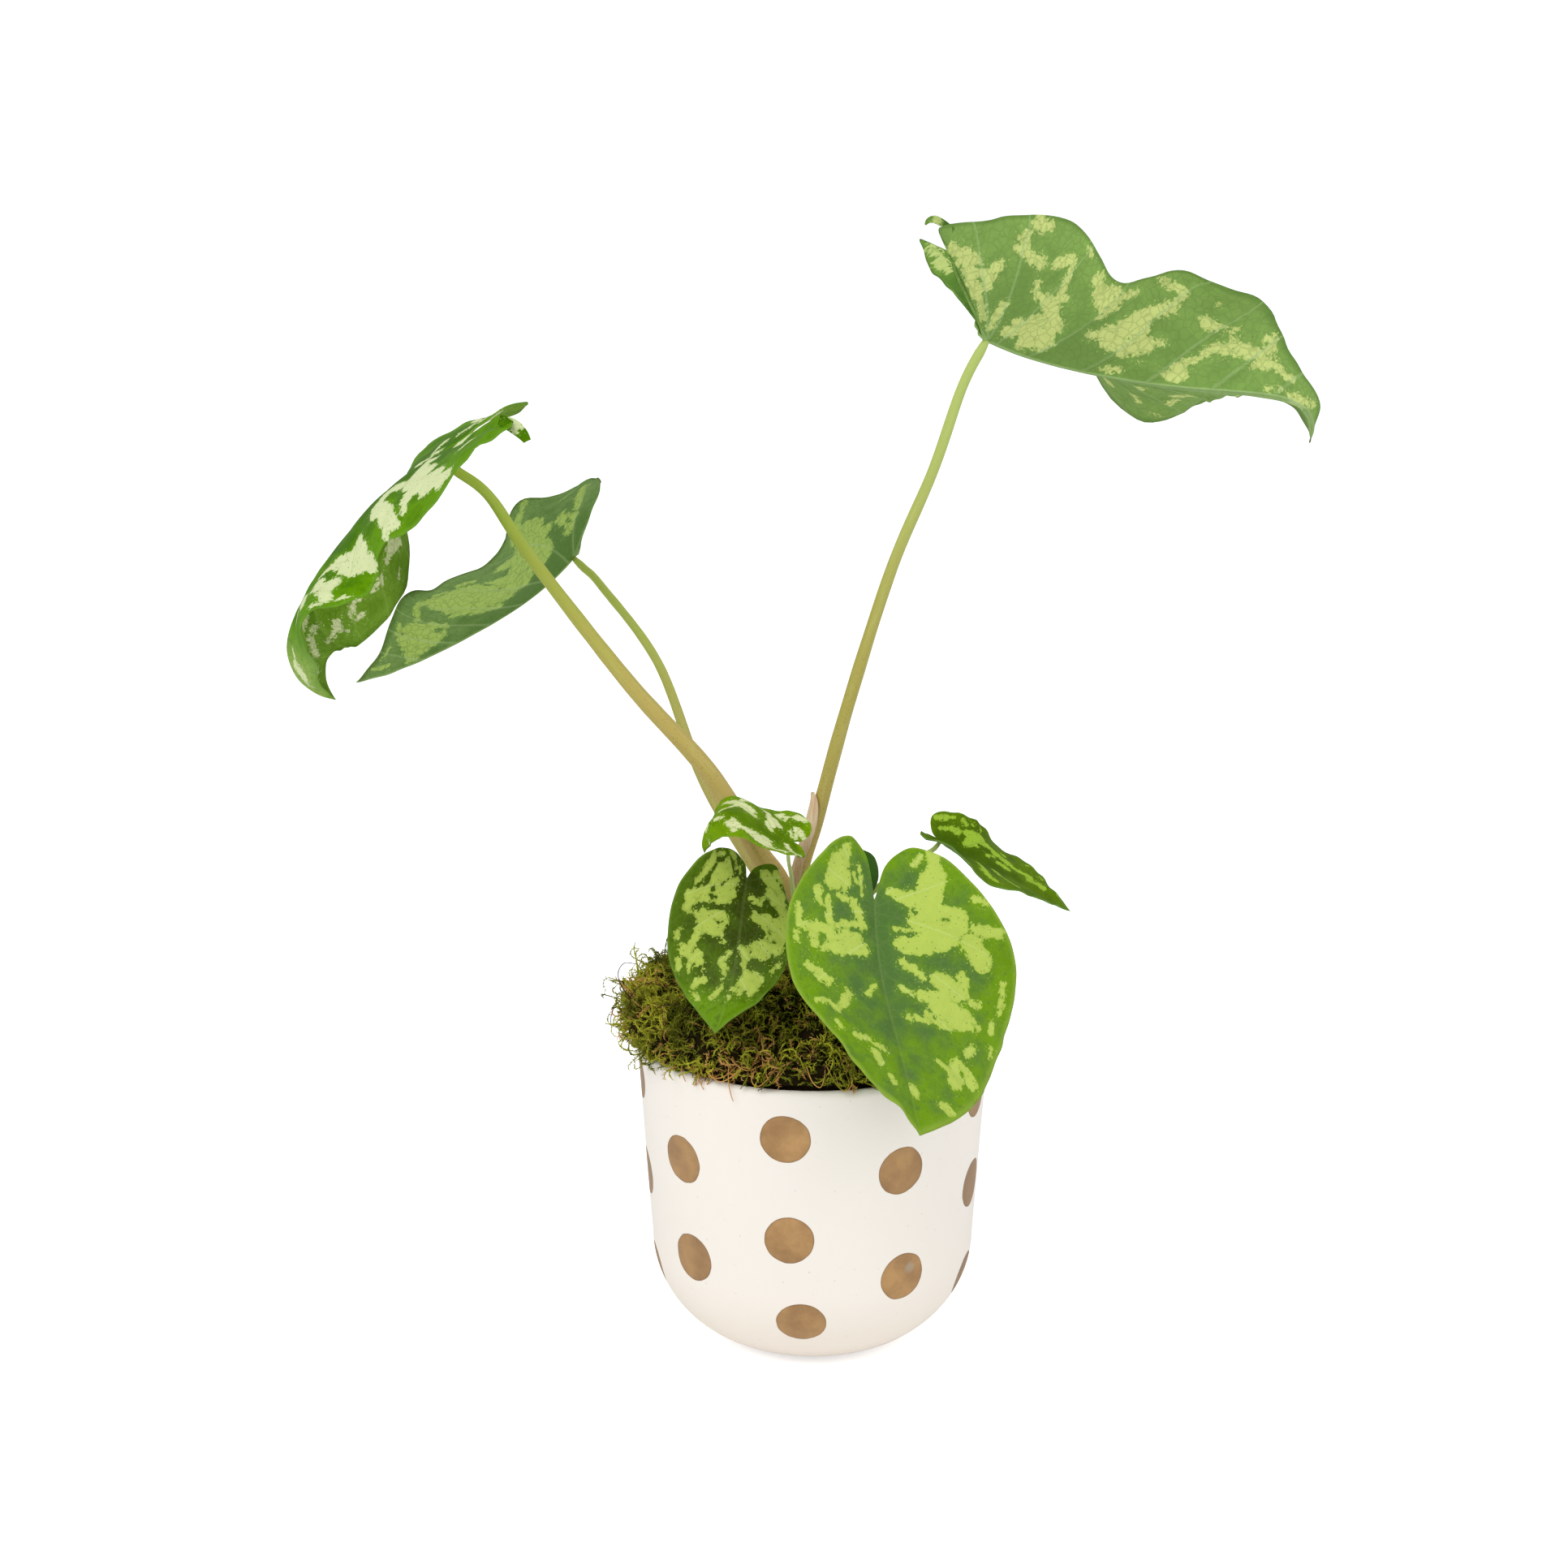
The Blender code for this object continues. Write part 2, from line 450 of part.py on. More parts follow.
def build_blade(name, leaf, mat):
    """Blade as a thin solid: the middle surface moved half the thickness to both sides, split alike."""
    mid, tris, count = blade_surface(leaf, *leaf.grid)
    face = np.cross(mid[tris[:, 1]] - mid[tris[:, 0]], mid[tris[:, 2]] - mid[tris[:, 0]])
    normal = np.zeros_like(mid)
    for k in range(3):
        np.add.at(normal, tris[:, k], face)
    normal /= np.linalg.norm(normal, axis=1)[:, None]
    pts = np.concatenate([mid + normal * BLADE / 2, mid - normal * BLADE / 2])
    n = len(mid)
    rim = np.arange(n - count, n)
    faces = [tuple(map(int, t)) for t in tris] + [tuple(int(i) + n for i in t[::-1]) for t in tris]
    for a, b in zip(rim, np.roll(rim, -1)):
        a, b = int(a), int(b)
        faces += [(a, a + n, b + n), (a, b + n, b)]
    return add_mesh(name, pts, faces, mat)


def build():
    clear_scene()
    build_pot(material("pot", (.86, .82, .76), .55))
    build_soil(material("soil", (.06, .04, .03), .95))
    build_corm(material("corm", (.35, .26, .16), .8))
    build_moss(material("moss", (.10, .11, .02), .95))
    build_sheath(material("sheath", (.52, .36, .24), .7))
    tan = material("stem_tan", (.36, .33, .14), .45)
    green = material("stem_green", (.25, .36, .10), .45)
    blade = material("blade", (.10, .28, .05), .4)
    for k, stem in STEMS.items():
        colour = tan if stem.colour == "stem_tan" else green
        add_mesh(f"petiole_{k}", *tube(stem_path(k), stem.radii, stem.sides, stem.steps), colour)
    for k, leaf in LEAVES.items():
        build_blade(f"blade_{k}", leaf, blade)


build()
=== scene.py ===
"""Potted hilo beauty alocasia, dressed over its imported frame.

A matte cream pot with brushed gold dots, sheet moss, and eight blotched leaves on fleshy stems.
Sizes are in millimetres and become metres when a mesh is made. -Y is the front, +Z is up.
"""
import math
from collections import namedtuple

import bpy
import numpy as np
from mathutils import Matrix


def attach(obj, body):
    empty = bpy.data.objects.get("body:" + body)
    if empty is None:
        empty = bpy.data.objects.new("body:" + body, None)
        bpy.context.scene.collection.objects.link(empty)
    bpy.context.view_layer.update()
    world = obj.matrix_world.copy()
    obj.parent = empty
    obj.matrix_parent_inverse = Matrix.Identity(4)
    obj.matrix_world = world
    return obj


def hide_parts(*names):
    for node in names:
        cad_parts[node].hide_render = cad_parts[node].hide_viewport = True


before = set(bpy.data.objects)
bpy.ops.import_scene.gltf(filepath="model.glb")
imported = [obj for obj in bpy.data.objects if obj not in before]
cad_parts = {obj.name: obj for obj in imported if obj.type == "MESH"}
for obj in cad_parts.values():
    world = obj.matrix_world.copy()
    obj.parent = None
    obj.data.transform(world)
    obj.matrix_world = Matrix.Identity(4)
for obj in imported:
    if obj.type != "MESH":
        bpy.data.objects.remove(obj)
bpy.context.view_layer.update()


# Table and daylight
# The plant stands on a plain white table top in an even, shadow-poor room: one wide window light from
# the upper left, a weaker one from the right, and pale walls all round.

TABLE_GLOW = .55                             # seen by the camera alone
WALL_LIGHT, WALL_LIFT = .64, .4              # light on the plant, and how much brighter the walls look
LAMPS = (("window", (-.9, -1.1, 1.5), (38, 0, -38), 1.3, 15),      # place in m, turn in degrees,
         ("far_wall", (1.2, -.5, 1.0), (55, 0, 66), 1.1, 5))       # width in m and watts
LENS_MM, FILM_MM = 59.63, 36.0
EYE, EYE_TURN = (-.0099, -.8333, .4164), (75.04, 0, 0)             # in m and degrees


def tone(r, g, b):
    """Colour as read from a paint card (0 to 255 a channel), turned to the linear colour a shader wants."""
    c = np.array([r, g, b]) / 255
    c = np.where(c < .04045, c / 12.92, ((c + .055) / 1.055) ** 2.4)
    return (*map(float, c), 1.0)


def add(tree, kind, wires, **settings):
    """One shader node with its settings; wires gives each input, by name or number, a socket or a value."""
    node = tree.nodes.new("ShaderNode" + kind)
    for key, value in settings.items():
        setattr(node, key, value)
    for key, value in wires.items():
        if isinstance(value, bpy.types.NodeSocket):
            tree.links.new(value, node.inputs[key])
        else:
            node.inputs[key].default_value = value
    return node


def calc(tree, rule, a, b=0.0, c=0.0):
    """Result of one sum, difference or other rule on up to three values."""
    return add(tree, "Math", {0: a, 1: b, 2: c}, operation=rule).outputs[0]


def times(tree, a, b):
    """Product of two values."""
    return calc(tree, "MULTIPLY", a, b)


def vector(tree, rule, *values):
    """Result of a rule on up to three vectors. A length or a distance is one number."""
    node = add(tree, "VectorMath", dict(enumerate(values)), operation=rule)
    return node.outputs["Value" if rule in ("LENGTH", "DISTANCE") else 0]


def object_place(tree):
    """Place on the object, in metres."""
    return add(tree, "TexCoord", {}).outputs["Object"]


def marked(tree, key):
    """Named number that a mesh carries."""
    return add(tree, "Attribute", {}, attribute_name=key).outputs["Fac"]


def blend_colours(tree, share, first, second):
    """First colour where share is 0, second where it is 1."""
    return add(tree, "Mix", {0: share, 6: first, 7: second}, data_type="RGBA").outputs[2]


def rise_between(tree, value, low, high):
    """0 below low, 1 above high, with an S-shaped rise between."""
    return add(tree, "MapRange", {0: value, 1: low, 2: high}, interpolation_type="SMOOTHSTEP").outputs[0]


def speckle(tree, place, scale, detail=2.0, rough=.5):
    """Cloudy noise between 0 and 1 at the given number of clouds per unit of place."""
    wires = {"Vector": place, "Scale": scale, "Detail": detail, "Roughness": rough}
    return add(tree, "TexNoise", wires).outputs[0]


def finish_named(name, roughness, **constants):
    """A new Principled finish: the material, its node tree and its shader. Constants sit on the shader."""
    mat = bpy.data.materials.new(name)
    mat.use_nodes = True
    shader = mat.node_tree.nodes["Principled BSDF"]
    shader.inputs["Roughness"].default_value = roughness
    for key, value in constants.items():
        shader.inputs[key.replace("_", " ")].default_value = value
    return mat, mat.node_tree, shader


def raise_surface(tree, shader, height, reach, strength):
    """Fine relief: height is pushed out by up to reach metres."""
    bump = add(tree, "Bump", {"Height": height, "Distance": reach, "Strength": strength})
    tree.links.new(bump.outputs[0], shader.inputs["Normal"])


def placed(name, data):
    """Object in the scene for a mesh, lamp or camera."""
    piece = bpy.data.objects.new(name, data)
    bpy.context.collection.objects.link(piece)
    return piece


table_mesh = bpy.data.meshes.new("table_top")
table_mesh.from_pydata([(-4, -3, 0), (4, -3, 0), (4, 5, 0), (-4, 5, 0)], [], [(0, 1, 2, 3)])
table_top = placed("table_top", table_mesh)
table_paint, tree, shader = finish_named("table_paint", .6)
shader.inputs["Base Color"].default_value = tone(250, 250, 250)
shader.inputs["Emission Color"].default_value = tone(255, 255, 255)
seen = add(tree, "LightPath", {}).outputs["Is Camera Ray"]
tree.links.new(times(tree, seen, TABLE_GLOW), shader.inputs["Emission Strength"])
table_mesh.materials.append(table_paint)

# The walls shine less on the plant than they look, as in a picture exposed for a white backdrop
room = bpy.data.worlds.new("pale_room")
room.use_nodes = True
walls = room.node_tree.nodes["Background"]
walls.inputs["Color"].default_value = tone(255, 255, 255)
seen = add(room.node_tree, "LightPath", {}).outputs["Is Camera Ray"]
shine = calc(room.node_tree, "MULTIPLY_ADD", seen, WALL_LIFT, WALL_LIGHT)
room.node_tree.links.new(shine, walls.inputs["Strength"])
bpy.context.scene.world = room

for name, place, turn, width, watts in LAMPS:
    lamp = bpy.data.lights.new(name, "AREA")
    lamp.shape, lamp.size, lamp.energy = "DISK", width, watts
    holder = placed(name, lamp)
    holder.location, holder.rotation_euler = place, [math.radians(a) for a in turn]

lens = bpy.data.cameras.new("portrait_lens")
lens.lens, lens.sensor_width, lens.clip_start = LENS_MM, FILM_MM, .01
camera = placed("portrait_lens", lens)
camera.location, camera.rotation_euler = EYE, [math.radians(a) for a in EYE_TURN]
bpy.context.scene.camera = camera
bpy.context.scene.view_settings.view_transform = "Standard"


# Pot
# A slip-cast stoneware cover pot: rounded foot, slightly tapered wall, soft rim, matte cream glaze with
# fine iron specks. The gold dots are brushed on by hand in staggered columns, each a little different.

POT_HIGH, POT_RIM_R, POT_FOOT_TOP_R = 107.4, 60.0, 55.4
FOOT_ROUND, FOOT_HIGH = 33.9, 35.1           # half axes of the foot's quarter ellipse
LIP, INNER_FLOOR = 4.6, 6.0
WALL_MORE, INNER_LESS = .3, 6                # wall thicker than the lip, and inner ellipse smaller, by this
BASE_LIFT, BASE_RINGS = .25, (6.0, 14.0, 20.6)
POT_STEPS = 288                              # faces round the pot
DOT_R = 8.3
FAR = 9.0                                    # for a place or a distance too far off to matter
# Dots seen in front: degrees round the pot, to the right from the front, and mm above the table
FRONT_DOTS = ((-9.4, 91.2), (-8.4, 55.0), (-4.6, 24.5), (-48.5, 76.1), (-46.2, 41.0), (29.2, 77.2),
              (31.8, 38.2), (69.9, 59.6), (73.0, 24.8), (68.0, 93.0), (-80.8, 95.0), (-80.6, 60.0),
              (-79.0, 26.5))
SMEARED = 6                                  # the low dot right of the middle has a grey smear
# Painted shade: dots seen in front darken towards the pot's sides over the span of degrees given here
SIDE_SHADE_DEPTH, SIDE_SHADE_FROM, SIDE_SHADE_SPAN = .5, 30, 42  # dots darken over this span of degrees from the front
BACK_COLUMNS = (107, 142, 177, 211, 245)
BACK_HEIGHTS = ((76.0, 40.5), (92.5, 57.5, 25.0))     # by turns, so the columns are staggered
HAND_TURN, HAND_LIFT = 2.2, 1.2              # how far the brush strays, in degrees and mm


def mark(mesh, key, numbers, where="POINT"):
    """One named number on every point, or on every face corner."""
    mesh.attributes.new(key, "FLOAT", where).data.foreach_set("value", numbers.astype(np.float32).ravel())


def numbers_of(items, key, kind=np.int32, each=1):
    """One property of all points, corners or faces of a mesh, as an array with each numbers apiece."""
    numbers = np.zeros(len(items) * each, kind)
    items.foreach_get(key, numbers)
    return numbers


def shell(name, rows, finishes, row_finish=None, flat=None, values=None):
    """Closed skin over a grid of points.

    rows is (along, round, 3) in mm. Every row is a closed ring, and each end ring is closed by a fan to
    its middle. row_finish is the finish of each row of faces, flat one pair of numbers per point, with one
    spare column for the seam, and values are named numbers per point.
    """
    n, m = rows.shape[:2]
    points = [rows.reshape(-1, 3)]
    i, j = np.meshgrid(np.arange(n - 1), np.arange(m), indexing="ij")
    k = (j + 1) % m
    quads = np.stack([i * m + j, i * m + k, (i + 1) * m + k, (i + 1) * m + j], -1).reshape(-1, 4)
    corner = np.stack([np.stack([i, j], -1), np.stack([i, j + 1], -1), np.stack([i + 1, j + 1], -1),
                       np.stack([i + 1, j], -1)], -2).reshape(-1, 4, 2)
    around = np.arange(m)
    caps, cap_rows = [], (0, n - 1)
    for row in cap_rows:
        hub = np.full(m, n * m + len(caps))
        points.append(rows[row].mean(0, keepdims=True))
        a, b = row * m + around, row * m + (around + 1) % m
        caps.append(np.stack([hub, b, a] if row == 0 else [hub, a, b], -1))
    points = np.concatenate(points) * .001
    mesh = bpy.data.meshes.new(name)
    mesh.from_pydata(points.tolist(), [], quads.tolist() + [t for c in caps for t in c.tolist()])
    mesh.polygons.foreach_set("use_smooth", np.ones(len(mesh.polygons), bool))
    for f in finishes:
        mesh.materials.append(f)
    if row_finish is not None:
        index = np.concatenate([np.asarray(row_finish)[i.ravel()]]
                               + [np.full(m, row_finish[min(r, n - 2)]) for r in cap_rows])
        mesh.polygons.foreach_set("material_index", index.astype(np.int32))
    if flat is not None:
        layer = mesh.uv_layers.new(name="flat")
        uv = [flat[corner[..., 0], corner[..., 1]].reshape(-1, 2)]
        for r in cap_rows:
            a, b = flat[r, around], flat[r, around + 1]
            hub = np.broadcast_to(flat[r, :m].mean(0), a.shape)
            uv.append(np.stack([hub, b, a] if r == 0 else [hub, a, b], 1).reshape(-1, 2))
        layer.data.foreach_set("uv", np.concatenate(uv).astype(np.float32).ravel())
    for key, grid in (values or {}).items():
        mark(mesh, key, np.concatenate([grid.ravel()] + [grid[r].mean(keepdims=True) for r in cap_rows]))
    return placed(name, mesh)


def pot_radius(z):
    """Outer radius at a height: a quarter ellipse up to FOOT_HIGH, then a straight flare to the rim."""
    foot = POT_FOOT_TOP_R - FOOT_ROUND + FOOT_ROUND * np.sqrt(np.clip(1 - (1 - z / FOOT_HIGH) ** 2, 0, 1))
    wall = POT_FOOT_TOP_R + (POT_RIM_R - POT_FOOT_TOP_R) * (z - FOOT_HIGH) / (POT_HIGH - FOOT_HIGH)
    return np.where(z < FOOT_HIGH, foot, wall)


def pot_inside(z):
    """Inner radius: the outer flare less the wall, with a smaller quarter ellipse down to the floor."""
    flare = (POT_RIM_R - POT_FOOT_TOP_R) * np.clip(z - FOOT_HIGH, 0, None) / (POT_HIGH - FOOT_HIGH)
    wall = POT_FOOT_TOP_R + flare - LIP - WALL_MORE
    t = np.clip(1 - (z - INNER_FLOOR) / (FOOT_HIGH - INNER_LESS), 0, 1)
    return wall - (FOOT_ROUND - INNER_LESS) * (1 - np.sqrt(1 - t * t))


def pot_profile():
    """Profile from the middle of the base, up the outside, over the round lip and down to the inner floor."""
    quarter = FOOT_HIGH * (1 - np.cos(np.radians(np.linspace(0, 90, 26))))
    out_z = np.concatenate([quarter, np.linspace(FOOT_HIGH, POT_HIGH - LIP / 2, 42)[1:]])
    out_r = pot_radius(out_z)
    turn = np.radians(np.linspace(0, 180, 15))[1:]
    lip_r = out_r[-1] - LIP / 2 + LIP / 2 * np.cos(turn)
    lip_z = POT_HIGH - LIP / 2 + LIP / 2 * np.sin(turn)
    curve = 1 - np.cos(np.radians(np.linspace(84, 0, 10)))
    in_z = np.concatenate([np.linspace(POT_HIGH - LIP / 2 - 4, FOOT_HIGH, 10),
                           INNER_FLOOR + (FOOT_HIGH - INNER_LESS) * curve])
    base_r = np.array(BASE_RINGS)
    return np.stack([np.concatenate([base_r, out_r, lip_r, pot_inside(in_z)]),
                     np.concatenate([0 * base_r + BASE_LIFT, out_z, lip_z, in_z])], -1)


profile = pot_profile()
turns = np.linspace(0, 2 * np.pi, POT_STEPS + 1)[:-1]
r, z = profile[:, :1], profile[:, 1:]
# Slip-cast ware is never quite round: the wall strays by up to a third of a millimetre, mostly inwards
hand = .12 * np.sin(2 * turns + .6) + .07 * np.sin(3 * turns - z / 30) + .05 * np.sin(5 * turns + z / 14)
body = np.where((z > 2) & (r > 40), r + hand - .12, r)
pot_rows = np.stack([body * np.cos(turns), body * np.sin(turns), z + 0 * turns], -1)

# Every face of the wall is told its place relative to the middle of the nearest dot, so a dot is a true
# circle of paint wherever the mesh lines fall.
dots = [(math.radians(a), h) for a, h in FRONT_DOTS]
for number, column in enumerate(BACK_COLUMNS):
    for row, high in enumerate(BACK_HEIGHTS[number % 2]):
        dots.append((math.radians(column + HAND_TURN * math.sin(3 * row + number)),
                     high + HAND_LIFT * math.cos(5 * number + row)))
dots = np.array(dots)


def painted_pot():
    """Pot skin with, per face corner, its place relative to the nearest dot, in dot radii, and how dark or
    smeared that dot is. The darkness is painted shade on the front dots towards the pot's sides, plus a
    slight tone of every dot's own. Only the outside of the wall has dots: elsewhere the place is far from
    any."""
    piece = shell("glazed_pot", pot_rows, [glaze])
    mesh = piece.data
    spots = np.zeros((len(mesh.loops), 2), np.float32)
    index, counts = numbers_of(mesh.loops, "vertex_index"), numbers_of(mesh.polygons, "loop_total")
    points = numbers_of(mesh.vertices, "co", np.float32, 3).reshape(-1, 3)[index] * 1000
    face = np.repeat(np.arange(len(counts)), counts)
    middle = np.stack([np.bincount(face, points[:, k]) for k in range(3)], -1) / counts[:, None]
    angle = np.arctan2(middle[:, 0], -middle[:, 1])
    off = (angle[:, None] - dots[:, 0] + np.pi) % (2 * np.pi) - np.pi
    radius = np.hypot(middle[:, 0], middle[:, 1])[:, None]
    nearest = np.hypot(off * radius, middle[:, 2:] - dots[:, 1]).argmin(1)
    outside = (np.hypot(middle[:, 0], middle[:, 1]) > pot_radius(middle[:, 2]) - 1.5) & (middle[:, 2] > 3)
    own = nearest[face]
    turn = (np.arctan2(points[:, 0], -points[:, 1]) - dots[own, 0] + np.pi) % (2 * np.pi) - np.pi
    slope = np.where(dots[own, 1] < 30, 1.12, 1.0)     # the round foot leans, so heights there stretch
    spots[:, 0] = turn * np.hypot(points[:, 0], points[:, 1]) / DOT_R
    spots[:, 1] = (points[:, 2] - dots[own, 1]) * slope / DOT_R
    spots[:, 0] = np.where(outside[face], spots[:, 0], FAR)
    mesh.uv_layers.new(name="dot").data.foreach_set("uv", spots.ravel())
    # Painted shade: front dots darken towards the pot's sides; each dot also gets a slight tone of its own
    side_shade_ramp = (np.abs(np.degrees(dots[own, 0])) - SIDE_SHADE_FROM) / SIDE_SHADE_SPAN
    side_shade = np.clip(side_shade_ramp, 0, 1) * (own < len(FRONT_DOTS))
    mark(mesh, "dot_side_shade_and_tone", side_shade * SIDE_SHADE_DEPTH + own * .37 % 1 * .2, "CORNER")
    mark(mesh, "dot_smear", own == SMEARED, "CORNER")
    return piece


glaze, tree, shader = finish_named("cream_glaze", .48)
place = object_place(tree)
height = add(tree, "SeparateXYZ", {0: place}).outputs[2]
spot = add(tree, "UVMap", {}, uv_map="dot").outputs[0]
shade = marked(tree, "dot_side_shade_and_tone")
smeared = marked(tree, "dot_smear")
noise = add(tree, "TexNoise", {"Vector": place, "Scale": 160.0, "Detail": 3.0}).outputs[1]
wobble = vector(tree, "SUBTRACT", noise, (.5, .5, .5))
brushed = vector(tree, "MULTIPLY_ADD", wobble, (.1, .1, .1), spot)
flat_spot = vector(tree, "MULTIPLY", brushed, (1, 1, 0))
reach = vector(tree, "LENGTH", flat_spot)
inside = rise_between(tree, reach, 1.012, .985)
edge = rise_between(tree, reach, .92, 1.0)
cloud = speckle(tree, place, 90.0, 5.0, .62)
cream = blend_colours(tree, speckle(tree, place, 26.0, 3.0), tone(246, 239, 230), tone(250, 244, 236))
# Painted light: towards the foot the glaze is tinted warmer, standing in for the warm light low on the pot
cream = blend_colours(tree, rise_between(tree, height, .05, .004), cream, tone(250, 240, 228))
scatter = vector(tree, "MULTIPLY_ADD", wobble, (.004, .004, .004), place)
grain = add(tree, "TexVoronoi", {"Vector": scatter, "Scale": 620.0, "Randomness": 1.0})
pick = add(tree, "SeparateXYZ", {0: grain.outputs["Color"]}).outputs[0]
iron = times(tree, rise_between(tree, grain.outputs["Distance"], .26, .08),
             rise_between(tree, pick, .93, 1.0))
cream = blend_colours(tree, times(tree, iron, .3), cream, tone(170, 136, 112))
foot_line = times(tree, rise_between(tree, height, .0022, .0006), .7)
cream = blend_colours(tree, foot_line, cream, tone(214, 178, 158))
gold = blend_colours(tree, rise_between(tree, cloud, .3, .72), tone(158, 118, 70), tone(194, 150, 94))
# Painted shade on the dots towards the pot's sides, with each dot's own slight tone
gold = blend_colours(tree, times(tree, shade, .95), gold, tone(126, 98, 72))
smear_gap = vector(tree, "DISTANCE", flat_spot, (.32, .3, 0))
smear = times(tree, smeared, rise_between(tree, smear_gap, .34, .08))
gold = blend_colours(tree, times(tree, smear, .6), gold, tone(170, 160, 140))
gold = blend_colours(tree, times(tree, edge, .6), gold, tone(124, 90, 56))
paint = blend_colours(tree, inside, cream, gold)
tree.links.new(paint, shader.inputs["Base Color"])
tree.links.new(calc(tree, "MULTIPLY_ADD", cloud, .25, .36), shader.inputs["Roughness"])
relief = calc(tree, "ADD", times(tree, speckle(tree, place, 900.0, 3.0), .5),
              times(tree, inside, 1.2))
raise_surface(tree, shader, relief, .00012, .5)

glazed_pot = painted_pot()
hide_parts("pot")
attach(glazed_pot, "root")


# Potting mix and corm
# Dark peat with bark chips fills the pot to a finger below the rim, and the woody corm sits in it. Moss
# hides both, so they keep their frame shapes and get only their own finishes.

peat, tree, shader = finish_named("peat", .95)
place = object_place(tree)
crumbs = speckle(tree, place, 420.0, 5.0, .7)
tree.links.new(blend_colours(tree, crumbs, tone(34, 24, 18), tone(86, 62, 44)), shader.inputs["Base Color"])
raise_surface(tree, shader, crumbs, .0012, .8)
bark, tree, shader = finish_named("corm_bark", .85)
place = object_place(tree)
rings = add(tree, "TexWave", {"Vector": place, "Scale": 60.0, "Distortion": 4.0},
            bands_direction="Z").outputs[1]
tree.links.new(blend_colours(tree, rings, tone(98, 74, 50), tone(150, 120, 84)), shader.inputs["Base Color"])
raise_surface(tree, shader, rings, .0008, .6)
for node, finish in (("soil", peat), ("corm", bark)):
    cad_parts[node].data.materials.clear()
    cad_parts[node].data.materials.append(finish)


# Stems
# Fleshy leaf stalks: thick and tan where they leave the corm, thinner and green towards the blade, with
# fine brown flecks, faint ribs, and low wings where the lower half once clasped the next leaf.

def through(values, s):
    """Smooth curve through evenly spaced values, read at s between 0 and 1: cubics that take each value's
    slope from its two neighbours."""
    v = np.asarray(values, float)
    last = len(v) - 1
    u = np.clip(np.asarray(s, float), 0, 1) * last
    i = np.minimum(u.astype(int), last - 1)
    f = u - i
    v = np.concatenate([[2 * v[0] - v[1]], v, [2 * v[-1] - v[-2]]])
    if v.ndim > 1:
        f = f[..., None]
    a, b, c, d = v[i], v[i + 1], v[i + 2], v[i + 3]
    return b + .5 * f * (c - a + f * (2 * a - 5 * b + 4 * c - d + f * (3 * (b - c) + d - a)))


def lumps(points, size, seed):
    """Random hills about size mm across, between about -1 and 1: a sum of waves in seeded directions."""
    rng, waves = np.random.default_rng(seed), 14
    way = rng.normal(size=(waves, points.shape[-1]))
    way *= (2 * np.pi / size) / np.linalg.norm(way, axis=1)[:, None] * rng.uniform(.6, 1.5, (waves, 1))
    return np.cos(points @ way.T + rng.uniform(0, 2 * np.pi, waves)).sum(-1) / math.sqrt(waves / 2) / 1.4


Stem = namedtuple("Stem", "points radii base middle top")
TAN, OLIVE, LEAF_GREEN = tone(208, 176, 102), tone(174, 164, 80), tone(176, 198, 100)
STREAK, FLECK = tone(206, 200, 130), tone(112, 84, 44)
WINGS_AT = (.35, 1.5)                        # radians round the stem
FLAT_UNIT = 100                              # mm of stem per unit of its flat map
TALL, SHORT = (28, 110), (18, 60)            # points round and along, for stems 1 to 3 and for the others
# Points and radii run from inside the moss up to the blade. Base, middle and top are the tones on the way.
STEMS = {
    1: Stem(((-7.5, 5.5, 98), (-8, 5.5, 128), (-5, 4, 158), (1, 2, 181), (11, 0, 220), (25, 0, 266),
             (38, 0, 298), (47, 0, 325)), (3.2, 2.6, 2.2, 1.85, 1.6), TAN, OLIVE, tone(177, 195, 105)),
    2: Stem(((-6.5, -4, 98), (-6.5, -4, 128), (-10, -3.5, 157), (-19, -3, 172), (-35, -5, 199.5),
             (-60, -8.5, 229.5), (-91, -8.5, 271), (-104, -8.2, 291), (-114, -8, 299)),
            (3.6, 3.5, 2.9, 2.2, 1.5), TAN, tone(188, 168, 90), tone(164, 187, 62)),
    3: Stem(((-15, 6, 98), (-13.5, 7.5, 128), (-14, 8.5, 153), (-21, 12, 163), (-38.1, 27, 189.2),
             (-53.4, 45, 224.9), (-73.3, 55, 250.2), (-79.3, 57.5, 255.9)), (2.4, 2.2, 1.9, 1.6, 1.3),
            tone(170, 156, 84), tone(182, 172, 92), tone(178, 194, 86)),
    4: Stem(((-3, -11, 98), (-4, -11.5, 130), (-6.5, -15, 156), (-7.5, -22, 168), (-8.5, -28, 176)),
            (.9, .8, .7, .6), tone(176, 184, 96), tone(204, 220, 136), tone(214, 228, 150)),
    5: Stem(((-13, -8, 98), (-13.5, -10, 125), (-16, -17, 150), (-20, -27, 165)), (1.5, 1.4, 1.2, 1.0),
            OLIVE, LEAF_GREEN, LEAF_GREEN),
    6: Stem(((0, -7, 98), (0, -10, 125), (5, -23, 142), (14, -37, 155)), (1.9, 1.8, 1.5, 1.2), OLIVE,
            LEAF_GREEN, LEAF_GREEN),
    7: Stem(((1.5, 3.5, 98), (3, 4, 125), (13, 1, 148), (30, -5, 167), (39, -8, 173)), (1.3, 1.2, 1.0, .8),
            OLIVE, LEAF_GREEN, tone(186, 206, 120)),
    8: Stem(((2.5, -2, 98), (4, -2, 125), (7, -4, 148), (9, -8, 163)), (1.1, 1.0, .9, .8), OLIVE,
            LEAF_GREEN, LEAF_GREEN),
}

Half = namedtuple("Half", "width lift curl full wave back nudges", defaults=(1.0, ()))
Leaf = namedtuple("Leaf", "attach length lobe heading swing rise roll left right shape")
